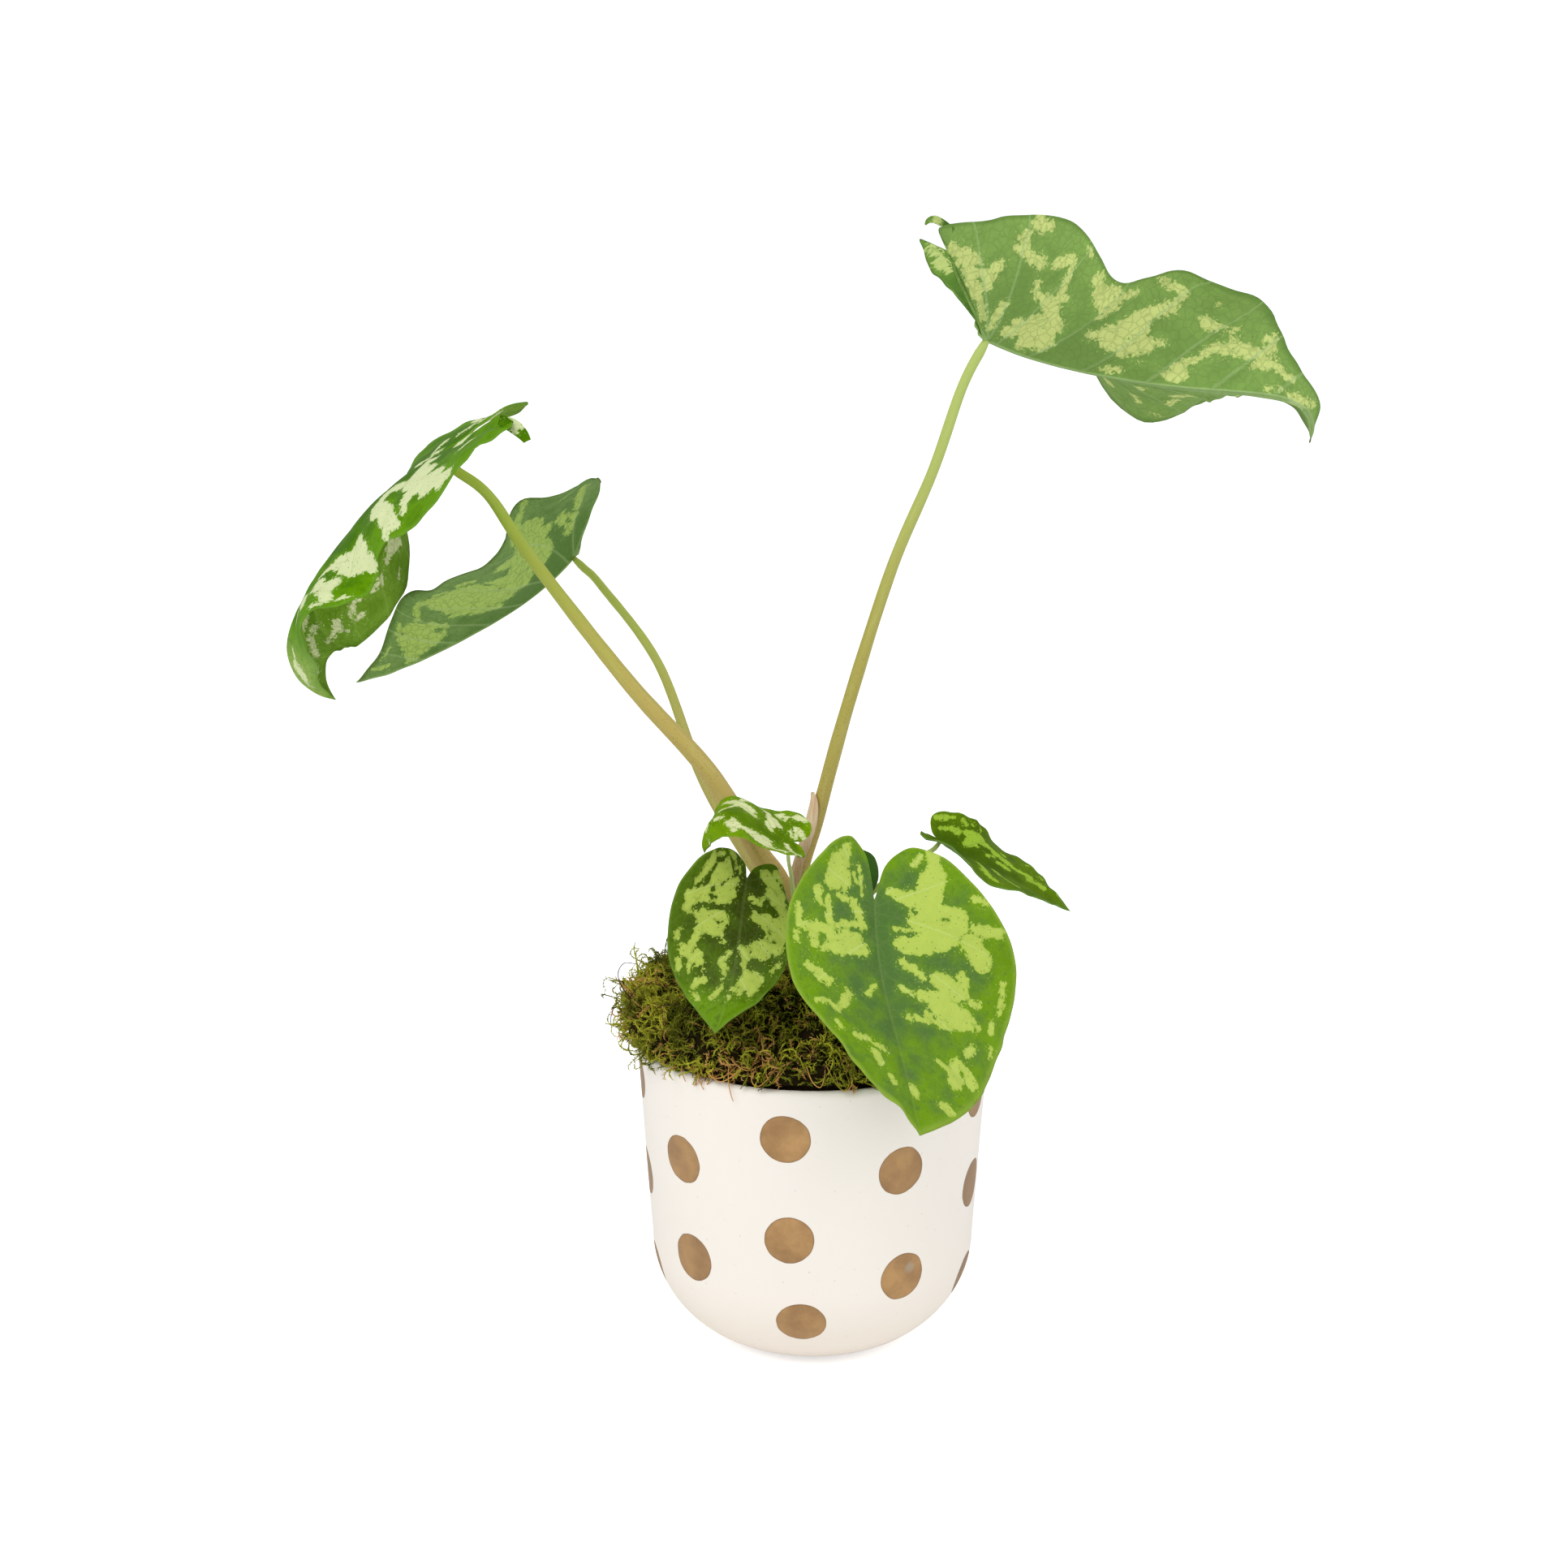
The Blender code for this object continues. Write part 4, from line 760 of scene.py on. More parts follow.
    5: ((-3.3, -15.5, 1, -16.3, 1.5), (2, -16.5, 4, -17.5, .9), (-5, -12, -4.3, -13.5, .7),
        (-3, -9, 0, -12, 1.5), (-8, -9.5, -5.5, -7, 1.1), (-5, -6.5, -3, -5, .6), (-4, -4, -1, -3, .4),
        (0, -8, 3, -12, 2), (1, -4.5, 4, -7, 1.7), (3, -11, 6, -13, 1.7), (5, -5, 6, -10, 2),
        (7, -15, 8, -18.5, 1.5), (7.5, -6, 8, -12, 1.4), (8.6, -12, 9.6, -18, 1),
        (5.5, -15.5, 8, -15.5, .8), (5, -11.5, 5.2, -11.3, -.7), (-.5, -5, -.3, -4.8, -.5),
        (7.3, -12, 7.3, -9.8, -.4), (11, -18, 12, -13, 1.6), (12.5, -12, 12.5, -6, 1.4),
        (11, -15.6, 10.7, -15.2, -1.1), (9.7, -13, 9.5, -6, -.6), (14, -12, 16.5, -9, 2.4),
        (17, -13.5, 18.5, -13, 1.3), (14, -4.9, 16, -6.5, 1), (17.5, -8.5, 18, -6.5, 1.2),
        (20.3, -5.2, 20.3, -5, .8), (20, -14, 24, -15.5, 1.3), (24, -17, 27, -15, 2),
        (25, -13, 28, -11.8, 1.5), (28, -19, 31, -18.7, .9), (29, -15, 32, -15, .8),
        (28.5, -16.6, 29, -16.6, -1), (18, -19.6, 20.5, -20.2, .8), (30.3, -10.5, 30.4, -10.3, .6),
        (23.5, -2.6, 26, -3.8, .8), (27, -5, 29, -3.2, 1.2), (30, -3.4, 32, -3, .9),
        (31.3, -3.2, 31.4, -3.2, -.4), (33.8, -9.4, 35, -12, 1.2), (36, -12.8, 37.5, -13, .8),
        (39, -11.5, 40.5, -10.5, .9), (35.5, -3, 37, -4, .9), (37.5, -4.2, 39.5, -5.6, .9),
        (-5, 10, -4, 13, 1.5), (-3.5, 6, -1, 10, 1.9), (0, 12, 2, 13.5, 1.6), (1.5, 9, 5, 11, 1.9),
        (5.3, 2.2, 6.5, 5.3, .9), (6.3, 5.5, 4.6, 7, .9), (4, 12, 8, 13.8, 2.2), (8, 14.2, 17, 14.6, 1.8),
        (9.6, 12, 9.8, 12.3, -.7), (8.2, 7.5, 8.6, 10.3, -1.3), (11, 4, 13, 7.5, 1.4), (12, 8, 17, 11, 2.4),
        (13, 11.5, 19, 12.8, 2.2), (15.6, 9.6, 15.8, 9.8, -.5), (20.8, 6, 20.8, 12.8, 1.9),
        (22, 1.4, 25, 2.8, 1.3), (22.6, 4, 23.4, 9, 1.7), (26, 2.6, 27.2, 3, .9),
        (19, 11.3, 19.1, 11.5, -.5), (22.8, 3.8, 23, 4, -.4), (25.5, 14, 27.8, 12, .8),
        (30, 4.5, 31.5, 9, 1.6), (33, 3.4, 34.5, 7.8, 1.9), (36, 7.4, 37, 7.8, .9), (35.6, .5, 36, 4, 1),
        (38.4, 0, 39, .4, .7)),
    6: ((-19, 18.5, -11, 20.5, 2), (-10, 19, -3, 17, 4.4), (-3, 11, 1, 20, 3), (1, 15, 4, 26, 4.3),
        (5, 14, 6, 27, 3.6), (-17.5, 15, -15, 12.5, 1.3), (-5.5, 5.5, -4, 8, 1.7),
        (-3.5, 31.5, -2.5, 36, 1.1), (7.5, 33, 8.5, 40, 2), (9, 18, 10, 24, 3.4), (7.6, 6, 8.2, 12, .6),
        (12, 31, 19, 35, 3.4), (12.5, 8, 13, 22, 2.3), (15, 9, 14.5, 17, 1.6), (10, 14.6, 12, 16, 1.4),
        (1, 12.5, 2, 13, -.7), (4, 22, 4.4, 23, -.6), (19.5, 8, 21, 11, 1.6), (22, 12, 24, 14.5, 1.4),
        (28, 6, 30.5, 12, 1), (30.5, 13, 31, 22, 2), (25, 20, 29, 26, 3.1), (24, 28, 30, 29, 1.8),
        (33.5, 19, 38, 27, 3.9), (32.5, 31, 33, 34, 1.1), (36, 14, 38.5, 16, 1.1), (38, 7, 39.5, 14, 1.1),
        (40, 18, 40.5, 30, 1.4), (38, 31, 40.5, 33, 1.2), (26, 42.3, 36, 42, 1), (39, 38.5, 41.5, 38, 1.1),
        (47.5, 29.5, 49, 27, 1.5), (53, 14.5, 55, 17, 1.3), (54, 22, 59, 19, 2.9), (55, 24.5, 58, 26, 2.3),
        (56, 22.8, 56.3, 22.8, -.8), (46.5, 37.5, 49, 36.5, .7), (68, 11, 69.5, 14, 1.6),
        (63.5, 1, 65.5, 1.8, 1.5), (-16.5, -12.5, -13, -13, 1.9), (-11, -15, -5, -17, 3.8),
        (-8, -12, -4, -12.5, 1.8), (-12, -7, -3, -5.5, .7), (-9, -9, -6, -8, .5), (0, -22.5, 3, -22, 1.5),
        (2, -19, 9, -18, 1.4), (0, -15, 1, -11, 1.1), (1, -9, 4, -7, 1.8), (4, -7, 8.5, -6, 1.6),
        (8, -8.5, 10, -15, 1.3), (6, -29.5, 11, -29, 1.1), (11.5, -27, 12, -12, 1.6),
        (13, -18, 13.5, -8, 2), (16, -6, 17, -17, 2.4), (17.5, -17, 17, -24, 1.3), (14, -24, 15, -25, 1.1),
        (15.5, -22, 15.6, -22, -1.2), (11.6, -15.8, 11.8, -15.5, -.7), (15, -3.4, 16, -2.6, -1),
        (14.5, -30.3, 16.5, -30, 1.1), (24, -27, 25.5, -24, 1.5), (26, -24, 28, -21.5, 1.8),
        (24.5, -27.5, 23.8, -28, .8), (28, -4.2, 31.5, -7.5, .9), (35.3, -27.5, 36, -24, 1),
        (37, -23, 38, -21.5, 1.1), (36.5, -19, 33, -15.5, 1.5), (31.5, -16, 32.5, -14.5, 1),
        (43, -23.5, 46, -23, .8), (48, -18, 48.5, -13, 1.3), (51, -11, 52, -7.5, 1.2),
        (53.5, -12.5, 57, -11.5, 1.6), (62.5, -9, 64, -8, 1.4)),
    7: ((-5.5, 6.8, -2.2, 9.2, .9), (-2.2, 9.2, -.2, 10.8, .7), (-2.2, 4.2, -.6, 5.2, 1),
        (1.2, 6.2, 3.6, 7.2, 1.3), (2.6, 12, 4.6, 11.6, .9), (6.4, 14.6, 7, 14, .5),
        (10.1, 15.8, 10.5, 14.8, .6), (6, 8.3, 9, 10.5, 1.6), (9, 7, 12, 11, 2.2), (7.8, 4.6, 11, 6.5, 1.3),
        (12, 9.5, 15, 10.2, 1.6), (15, 10, 18.5, 9.8, 1.2), (16, 5, 18.8, 6.6, .7), (18.5, 9.5, 24, 9, 1.3),
        (21.5, 12.2, 23, 12.6, .6), (21, 4.6, 24.5, 4.2, 1.1), (24, 7.6, 29, 7.2, 1.1),
        (29, 7.4, 33, 7, 1.1), (32.5, 5.2, 35.5, 5.6, .9), (35.5, 5.6, 38, 5.6, 1.1),
        (30.6, 14, 32, 13.6, .45), (35.6, 10.8, 37, 10.6, .5), (43, 6, 44, 5.6, .5), (14, -6, 17, -11, .8),
        (15.5, -10.5, 19, -13, 1), (19, -13, 21, -13.5, .7), (19.5, -3.6, 22, -5.5, .8),
        (22, -6, 24, -7, .7), (25, -7.5, 29, -8, .8)),
    8: ((4, 4, 8, 6, 1.6), (10, -4, 14, -2, 1.6), (2, -6, 5, -8, 1.4)),
}


def vein_relief(leaf, x, y):
    """Swelling of the blade, 0 on a main vein and 1 well between veins, and its ribs, 1 on a vein and 0
    beside it. A side vein runs out from its start on the midrib as start + lean * out + bow * out squared; a
    lobe's veins run straight from the stem."""
    u, v = x / leaf.length, np.abs(y) / leaf.length
    near = np.where(u > 0, v, FAR)
    for start, lean, bow in SIDE_VEINS:
        slant = np.sqrt(1 + (lean + 2 * bow * v) ** 2)
        near = np.minimum(near, np.abs(u - start - lean * v - bow * v * v) / slant)
    for turn in np.radians(LOBE_VEINS):
        ahead = u * math.cos(turn) + v * math.sin(turn) > 0
        near = np.where(ahead, np.minimum(near, np.abs(u * math.sin(turn) - v * math.cos(turn))), near)
    gap = near * leaf.length
    return 1 - np.exp(-(gap / HOLLOW_WIDE) ** 2), np.exp(-(gap / RIB_WIDE) ** 2)


def splash_field(strokes, x, y):
    """How deep a point lies inside the nearest splash, in mm: half width less distance to its stroke. A
    stroke with a minus half width is an island of green, cut out of the splashes once they are all laid."""
    deep = np.full(x.shape, NO_SPLASH)
    for x1, y1, x2, y2, wide in sorted(strokes, key=lambda stroke: stroke[4] < 0):
        dx, dy = x2 - x1, y2 - y1
        along = np.clip(((x - x1) * dx + (y - y1) * dy) / (dx ** 2 + dy ** 2 + 1e-9), 0, 1)
        gap = np.hypot(x - x1 - along * dx, y - y1 - along * dy)
        deep = np.maximum(deep, wide - gap) if wide > 0 else np.minimum(deep, wide + gap)
    return deep


def blade_rows(k, rings, around):
    """Blade skin: rings about the stem's seat grow from the seat to the outline on the upper face, round the
    thin edge, and shrink back on the underside. Each nudge shifts the outline by a bell curve about its
    place. Swelling lifts both faces, ribs add to the underside, and a slight frill of random waves grows
    with the fourth power of the way out. Gives the rows, their flat places and their named values."""
    leaf = LEAVES[k]
    rib = midrib(leaf)
    shape = np.array(leaf.shape)
    edge = 1 - (1 - np.linspace(0, 1, around + 1)) ** 1.15
    q = through(shape, edge)
    q[0, 1] = q[-1, 1] = 0
    f = np.linspace(0, 1, rings + 1)[1:, None]
    P, X, Y = [], [], []
    for side, half in ((1, leaf.left), (-1, leaf.right)):
        qx = outline_along(leaf, half, q, edge)
        qy = np.maximum(q[:, 1], 0) * half.width * through(half.full, edge)
        for at, reach, along, out in half.nudges:
            bell = np.exp(-((edge - at) / reach) ** 2)
            qx, qy = qx + along * bell, np.maximum(qy + out * bell, 0)
        x, y = f * qx, f * qy
        p = place_blade(leaf, rib, x, y, side, np.broadcast_to(edge, x.shape))
        keep = slice(None) if side > 0 else slice(-2, 0, -1)
        P.append(p[:, keep]), X.append(x[:, keep]), Y.append(side * y[:, keep])
    P, X, Y = np.concatenate(P, 1), np.concatenate(X, 1), np.concatenate(Y, 1)
    ring = np.roll(P, -1, 1) - np.roll(P, 1, 1)
    normal = unit(np.cross(ring, np.gradient(P, axis=0)))
    normal[0] = unit(normal[:4].mean((0, 1)))
    swell, ridge = vein_relief(leaf, X, Y)
    size = leaf.length / USUAL
    fade = np.clip((1 - f) / .08, 0, 1) ** .5
    half_thick = BLADE_THICK / 2 * (.35 + .65 * fade)
    frill = FRILL * size ** .5 * lumps(np.stack([X, Y], -1), 11 * size ** .5, k + 40) * f ** 4
    mid = P + normal * ((swell - .5) * SWELL * size * fade + frill)[..., None]
    upper = mid + normal * half_thick[..., None]
    lower = mid - normal * (half_thick + RIB * size * ridge * fade)[..., None]
    rows = np.concatenate([upper, lower[::-1]])
    flat = np.stack([X, Y], -1) / leaf.length
    flat = np.concatenate([flat, flat[::-1]])
    flat = np.concatenate([flat, flat[:, :1]], 1)
    values = {"splash": splash_field(SPLASHES[k], X, Y), "out": np.broadcast_to(f, X.shape)}
    return rows, flat, {key: np.concatenate([grid, grid[::-1]]) for key, grid in values.items()}


def shaded(colour, share=SHADOW):
    """The same colour with only a share of its light."""
    return (*[c * share for c in colour[:3]], 1.0)


Greens = namedtuple("Greens", "deep fresh splash vein rim tip", defaults=(None,))


def greens_of(*cards):
    """Greens from paint cards; only some blades have a tone of their own for the tip."""
    return Greens(*[tone(*card) for card in cards])


def blade_finish(name, leaf, greens, under=False):
    """Blade skin in shader form. Splash depth is torn by noise and by vein cells, then cut sharp. Deep green
    holds the middle, fresh green the edge; veins, flecks and a hair-thin rim are laid over."""
    shine = WAXY if leaf.shape is HEART and leaf.length > 50 and not under else MATTE
    mat, tree, shader = finish_named(name, .5, Specular_IOR_Level=shine)
    flat = add(tree, "UVMap", {}, uv_map="flat").outputs[0]
    mm = vector(tree, "MULTIPLY", flat, (leaf.length, leaf.length, 0))
    depth = marked(tree, "splash")
    out = marked(tree, "out")
    broad = speckle(tree, mm, .11, 3.0)
    torn = speckle(tree, mm, .45, 3.0, .6)
    cells = add(tree, "TexVoronoi", {"Vector": mm, "Scale": .85, "Randomness": 1.0})
    jag = add(tree, "SeparateXYZ", {0: cells.outputs["Color"]}).outputs[0]
    deep = calc(tree, "MULTIPLY_ADD", calc(tree, "SUBTRACT", torn, .46), 1.2 + leaf.length / 90, depth)
    deep = calc(tree, "MULTIPLY_ADD", calc(tree, "SUBTRACT", jag, .45), .5 + leaf.length / 140, deep)
    pale = rise_between(tree, deep, -.08, .16)
    fringe = rise_between(tree, deep, -2.6, .0)
    # Main veins, from the same starts, leans and bows that shape the blade. They thin out away from the
    # midrib, so their distance is made to grow there.
    parts = add(tree, "SeparateXYZ", {0: flat})
    u, v = parts.outputs[0], calc(tree, "ABSOLUTE", parts.outputs[1])
    near = calc(tree, "ADD", v, times(tree, calc(tree, "LESS_THAN", u, 0.0), FAR))
    square = times(tree, v, v)
    taper = calc(tree, "MULTIPLY_ADD", v, 2.4, 1.0)
    for start, lean, bow in SIDE_VEINS:
        gap = calc(tree, "SUBTRACT", calc(tree, "SUBTRACT", u, start),
                   calc(tree, "MULTIPLY_ADD", square, bow, times(tree, v, lean)))
        gap = times(tree, calc(tree, "ABSOLUTE", gap),
                   times(tree, taper, 1 / math.sqrt(1 + (lean + bow * .3) ** 2)))
        near = calc(tree, "MINIMUM", near, gap)
    for turn in np.radians(LOBE_VEINS):
        behind = calc(tree, "LESS_THAN", calc(tree, "MULTIPLY_ADD", u, math.cos(turn),
                                              times(tree, v, math.sin(turn))), 0.0)
        gap = calc(tree, "ABSOLUTE", calc(tree, "SUBTRACT", times(tree, u, math.sin(turn)),
                                          times(tree, v, math.cos(turn))))
        gap = calc(tree, "MULTIPLY_ADD", behind, FAR, times(tree, gap, taper))
        near = calc(tree, "MINIMUM", near, gap)
    gap_mm = times(tree, near, leaf.length)
    main_vein = rise_between(tree, gap_mm, .95 if under else .5, .15)
    sway = add(tree, "TexNoise", {"Vector": mm, "Scale": .35, "Detail": 2.0}).outputs[1]
    bent = vector(tree, "MULTIPLY_ADD", sway, (1.6, 1.6, 0), mm)
    net = add(tree, "TexVoronoi", {"Vector": bent, "Scale": .33}, feature="DISTANCE_TO_EDGE")
    net_line = rise_between(tree, net.outputs["Distance"], .10, .02)
    centre = calc(tree, "MULTIPLY_ADD", broad, .9, times(tree, out, .55))
    green = blend_colours(tree, rise_between(tree, centre, .62, 1.02), greens.deep, greens.fresh)
    green = blend_colours(tree, times(tree, fringe, .3), green, greens.fresh)
    if greens.tip:
        green = blend_colours(tree, rise_between(tree, parts.outputs[0], .66, .84), green, greens.tip)
    mottle = times(tree, rise_between(tree, torn, .52, .66), .15 if under else .35)
    green = blend_colours(tree, mottle, green, shaded(greens.deep))
    green = blend_colours(tree, times(tree, rise_between(tree, out, .955, 1.0), .6), green, greens.rim)
    pale_tone = blend_colours(tree, speckle(tree, mm, .25, 3.0), greens.splash, shaded(greens.splash, .84))
    thin = times(tree, rise_between(tree, deep, .9, .1), .3)
    pale_tone = blend_colours(tree, thin, pale_tone, greens.fresh)
    skin = blend_colours(tree, pale, green, pale_tone)
    specks = add(tree, "TexVoronoi", {"Vector": mm, "Scale": 1.15})
    chance = add(tree, "SeparateXYZ", {0: specks.outputs["Color"]})
    dot = rise_between(tree, specks.outputs["Distance"], .34, .2)
    dark_spot = times(tree, times(tree, dot, rise_between(tree, chance.outputs[1], .72, .78)), pale)
    skin = blend_colours(tree, times(tree, dark_spot, .7), skin, greens.deep)
    strewn = times(tree, times(tree, dot, rise_between(tree, chance.outputs[2], .82, .88)), fringe)
    skin = blend_colours(tree, times(tree, strewn, .75), skin, greens.splash)
    skin = blend_colours(tree, times(tree, net_line, .3 if under else .03), skin,
                         shaded(greens.deep) if under else greens.vein)
    shown = calc(tree, "MULTIPLY_ADD", pale, .25, .3) if under else calc(tree, "MULTIPLY_ADD", pale, .42, .02)
    skin = blend_colours(tree, times(tree, main_vein, shown), skin, greens.vein)
    # The midrib takes the vein colour: underneath this is the real pale rib, on the upper face a faint
    # painted highlight
    middle = rise_between(tree, times(tree, v, leaf.length), .8, .3)
    skin = blend_colours(tree, times(tree, middle, .3 if under else .04), skin, greens.vein)
    tree.links.new(skin, shader.inputs["Base Color"])
    pores = speckle(tree, mm, 5.0, 2.0)
    relief = calc(tree, "ADD", times(tree, net_line, .8 if under else -.5), times(tree, pores, .25))
    raise_surface(tree, shader, relief, .00022, .45)
    return mat


UPPER = {1: greens_of((84, 124, 48), (112, 150, 64), (196, 214, 130), (150, 186, 96), (62, 98, 24)),
         2: greens_of((66, 112, 2), (96, 146, 2), (222, 232, 178), (150, 190, 80), (110, 156, 50),
                   (142, 174, 82)),
         3: greens_of((70, 112, 36), (100, 142, 60), (180, 202, 110), (140, 176, 90), (104, 140, 60)),
         4: greens_of((84, 118, 2), (116, 156, 4), (228, 234, 178), (150, 186, 60), (120, 158, 40)),
         5: greens_of((56, 72, 0), (80, 112, 0), (184, 205, 88), (196, 214, 130), (110, 144, 44),
                   (100, 142, 0)),
         6: greens_of((80, 116, 50), (108, 150, 4), (188, 210, 92), (200, 218, 140), (150, 178, 64)),
         7: greens_of((67, 95, 8), (92, 123, 8), (160, 196, 60), (110, 146, 60), (110, 150, 70)),
         8: greens_of((40, 70, 24), (56, 92, 32), (124, 152, 64), (84, 120, 56), (78, 106, 56))}
UNDER = {1: greens_of((118, 153, 76), (134, 170, 86), (212, 226, 138), (178, 206, 142), (84, 122, 50)),
         2: greens_of((106, 146, 30), (126, 166, 56), (238, 242, 192), (160, 190, 96), (96, 132, 44)),
         3: greens_of((96, 132, 64), (120, 154, 82), (176, 206, 104), (170, 196, 130), (66, 92, 30)),
         4: greens_of((118, 136, 6), (130, 150, 20), (196, 206, 120), (160, 186, 70), (120, 150, 40)),
         5: greens_of((86, 118, 50), (98, 132, 50), (156, 184, 90), (146, 176, 100), (100, 134, 70)),
         6: greens_of((90, 124, 60), (104, 138, 60), (160, 190, 92), (150, 180, 106), (104, 138, 76)),
         7: greens_of((124, 160, 88), (138, 174, 100), (164, 194, 104), (160, 190, 120), (120, 158, 90)),
         8: greens_of((80, 112, 56), (92, 124, 56), (136, 164, 84), (126, 156, 86), (86, 116, 66))}
# Rings from the seat to the edge, and points round each half of the outline
GRAIN = {1: (80, 140), 2: (76, 130), 3: (64, 120), 4: (36, 76),
         5: (44, 90), 6: (64, 130), 7: (40, 86), 8: (20, 44)}

for k, leaf in LEAVES.items():
    rows, flat, values = blade_rows(k, *GRAIN[k])
    skins = [blade_finish(f"blade_upper_{k}", leaf, UPPER[k]),
             blade_finish(f"blade_under_{k}", leaf, UNDER[k], under=True)]
    rings = GRAIN[k][0]
    face = [0] * rings + [1] * (rings - 1)
    piece = shell(f"leaf_{k}", rows, skins, row_finish=face, flat=flat, values=values)
    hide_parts(f"blade_{k}")
    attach(piece, "root")


def curled_end(name, k, path, widths, cream):
    """Small tongue of blade that carries a lobe's end on in a curl: a flat oval ring taken along a curve, its
    long axis square to the path and upright. cream is the share of the way where a pale splash lies."""
    s = np.linspace(0, 1, 30)
    mid, wide = through(np.array(path, float), s), through(widths, s)[:, None, None]
    ahead = unit(np.gradient(mid, axis=0))
    side = unit(np.cross(ahead, (.2, 1, .1)))
    other = np.cross(ahead, side)
    ang = np.linspace(0, 2 * np.pi, 21)
    ring = ang[:-1, None]
    cupped = .22 * np.sin(ring) + .3 * wide * np.cos(ring) ** 2
    rows = mid[:, None] + wide * np.cos(ring) * side[:, None] + cupped * other[:, None]
    flat = np.stack([.04 + .1 * s[:, None] + 0 * ang, .1 + .03 * np.cos(ang) + 0 * s[:, None]], -1)
    splash = 1.3 - 9 * np.abs(s[:, None] - cream) + .6 * np.cos(ang[:-1])
    piece = shell(name, rows, [bpy.data.materials[f"blade_upper_{k}"]], flat=flat,
                  values={"splash": splash, "out": .5 + .3 * s[:, None] + 0 * splash})
    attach(piece, "root")


curled_end("leaf_1_lobe_end", 1,
           ((41.5, -29, 375.4), (38.4, -29.4, 377.4), (35.8, -29.8, 378.6), (33.9, -29.4, 378.2),
            (33, -28.6, 377)),
           (.7, 1.1, 1.2, .8, .3), .45)
curled_end("leaf_2_lobe_end", 2,
           ((-96.5, -39.6, 319.4), (-92, -41.6, 317.7), (-89.6, -42.8, 315.8), (-88, -42, 313.2)),
           (1.7, 2.3, 2, 1.3), .42)


# Dry sheath
# The papery bract that wrapped the newest leaf has dried to a thin pinkish tan scale. It clasps the left of
# the tallest stem, thins towards its rounded top and stands a little off there.

SHEATH_LOW, SHEATH_HIGH = 148.0, 191.0
SHEATH_SIDE, SHEATH_WRAP = 200.0, 74.0       # degrees: its middle, and how far it reaches to either side
SHEATH_CLEAR, PAPER_THICK = .62, .34


def sheath_rows(along, across):
    """Closed strip of paper round the stem: at each height an arc of outer points and the same arc back,
    one thickness nearer. The arc narrows to a round top, leans away there, and ripples at its edges."""
    path = np.array([*STEMS[1].points, LEAVES[1].attach], float)
    even = np.linspace(0, 1, 400)
    curve, wide = through(path, even), through(STEMS[1].radii, even)
    s = np.linspace(0, 1, along)
    z = SHEATH_LOW + (SHEATH_HIGH - SHEATH_LOW) * s
    mid = np.stack([np.interp(z, curve[:, 2], curve[:, k]) for k in range(3)], 1)
    clear = np.interp(z, curve[:, 2], wide) + SHEATH_CLEAR + 1.5 * np.clip(s - .45, 0, 1) ** 1.4
    half = math.radians(SHEATH_WRAP) * np.sqrt(np.clip(1 - s ** 7, .002, 1)) * (1 + .06 * np.sin(9 * s + 1))
    t = np.linspace(-1, 1, across)
    turn = math.radians(SHEATH_SIDE) + half[:, None] * t
    ripple = .16 * np.sin(17 * s[:, None] + 2.5 * t) * t ** 4 + .05 * np.cos(22 * t) + .28 * np.abs(t) ** 6
    outward = np.stack([np.cos(turn), np.sin(turn), 0 * turn], -1)
    arcs = [mid[:, None] + (clear[:, None] + ripple + d)[..., None] * outward for d in (PAPER_THICK, 0)]
    return np.concatenate([arcs[0], arcs[1][:, ::-1]], 1)


papery, tree, shader = finish_named("dry_sheath", .62, Specular_IOR_Level=.25)
place = object_place(tree)
fibre = speckle(tree, add(tree, "Mapping", {0: place, 3: (1, 1, .08)}).outputs[0], 1500.0, 4.0, .65)
stain = speckle(tree, add(tree, "Mapping", {0: place, 3: (1, 1, .4)}).outputs[0], 160.0, 3.0)
paper = blend_colours(tree, rise_between(tree, fibre, .3, .7), tone(212, 180, 140), tone(242, 220, 188))
paper = blend_colours(tree, times(tree, rise_between(tree, stain, .5, .72), .5), paper, tone(216, 166, 134))
tree.links.new(paper, shader.inputs["Base Color"])
raise_surface(tree, shader, fibre, .0002, .6)
dry_sheath = shell("dry_sheath", sheath_rows(60, 26), [papery])
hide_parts("sheath")
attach(dry_sheath, "root")


# Moss
# Dried and re-wetted sheet moss is pressed over the mix in one thick pillow. It fills the mouth, stands well
# above the rim and spills over it at the left. Under the shoots lies a near black felt: partly old stems,
# partly painted shade that shows in the gaps between the tufts.

MOSS_FOOT, MOSS_TOP = 98.0, 131.0
MOSS_SPILL = 5.5                             # how far it hangs over at the left
MOSS_GAP = 2.2                               # least distance from a strand's seat to a stem or leaf
STRAND_STEPS = 16                            # points along each listed strand


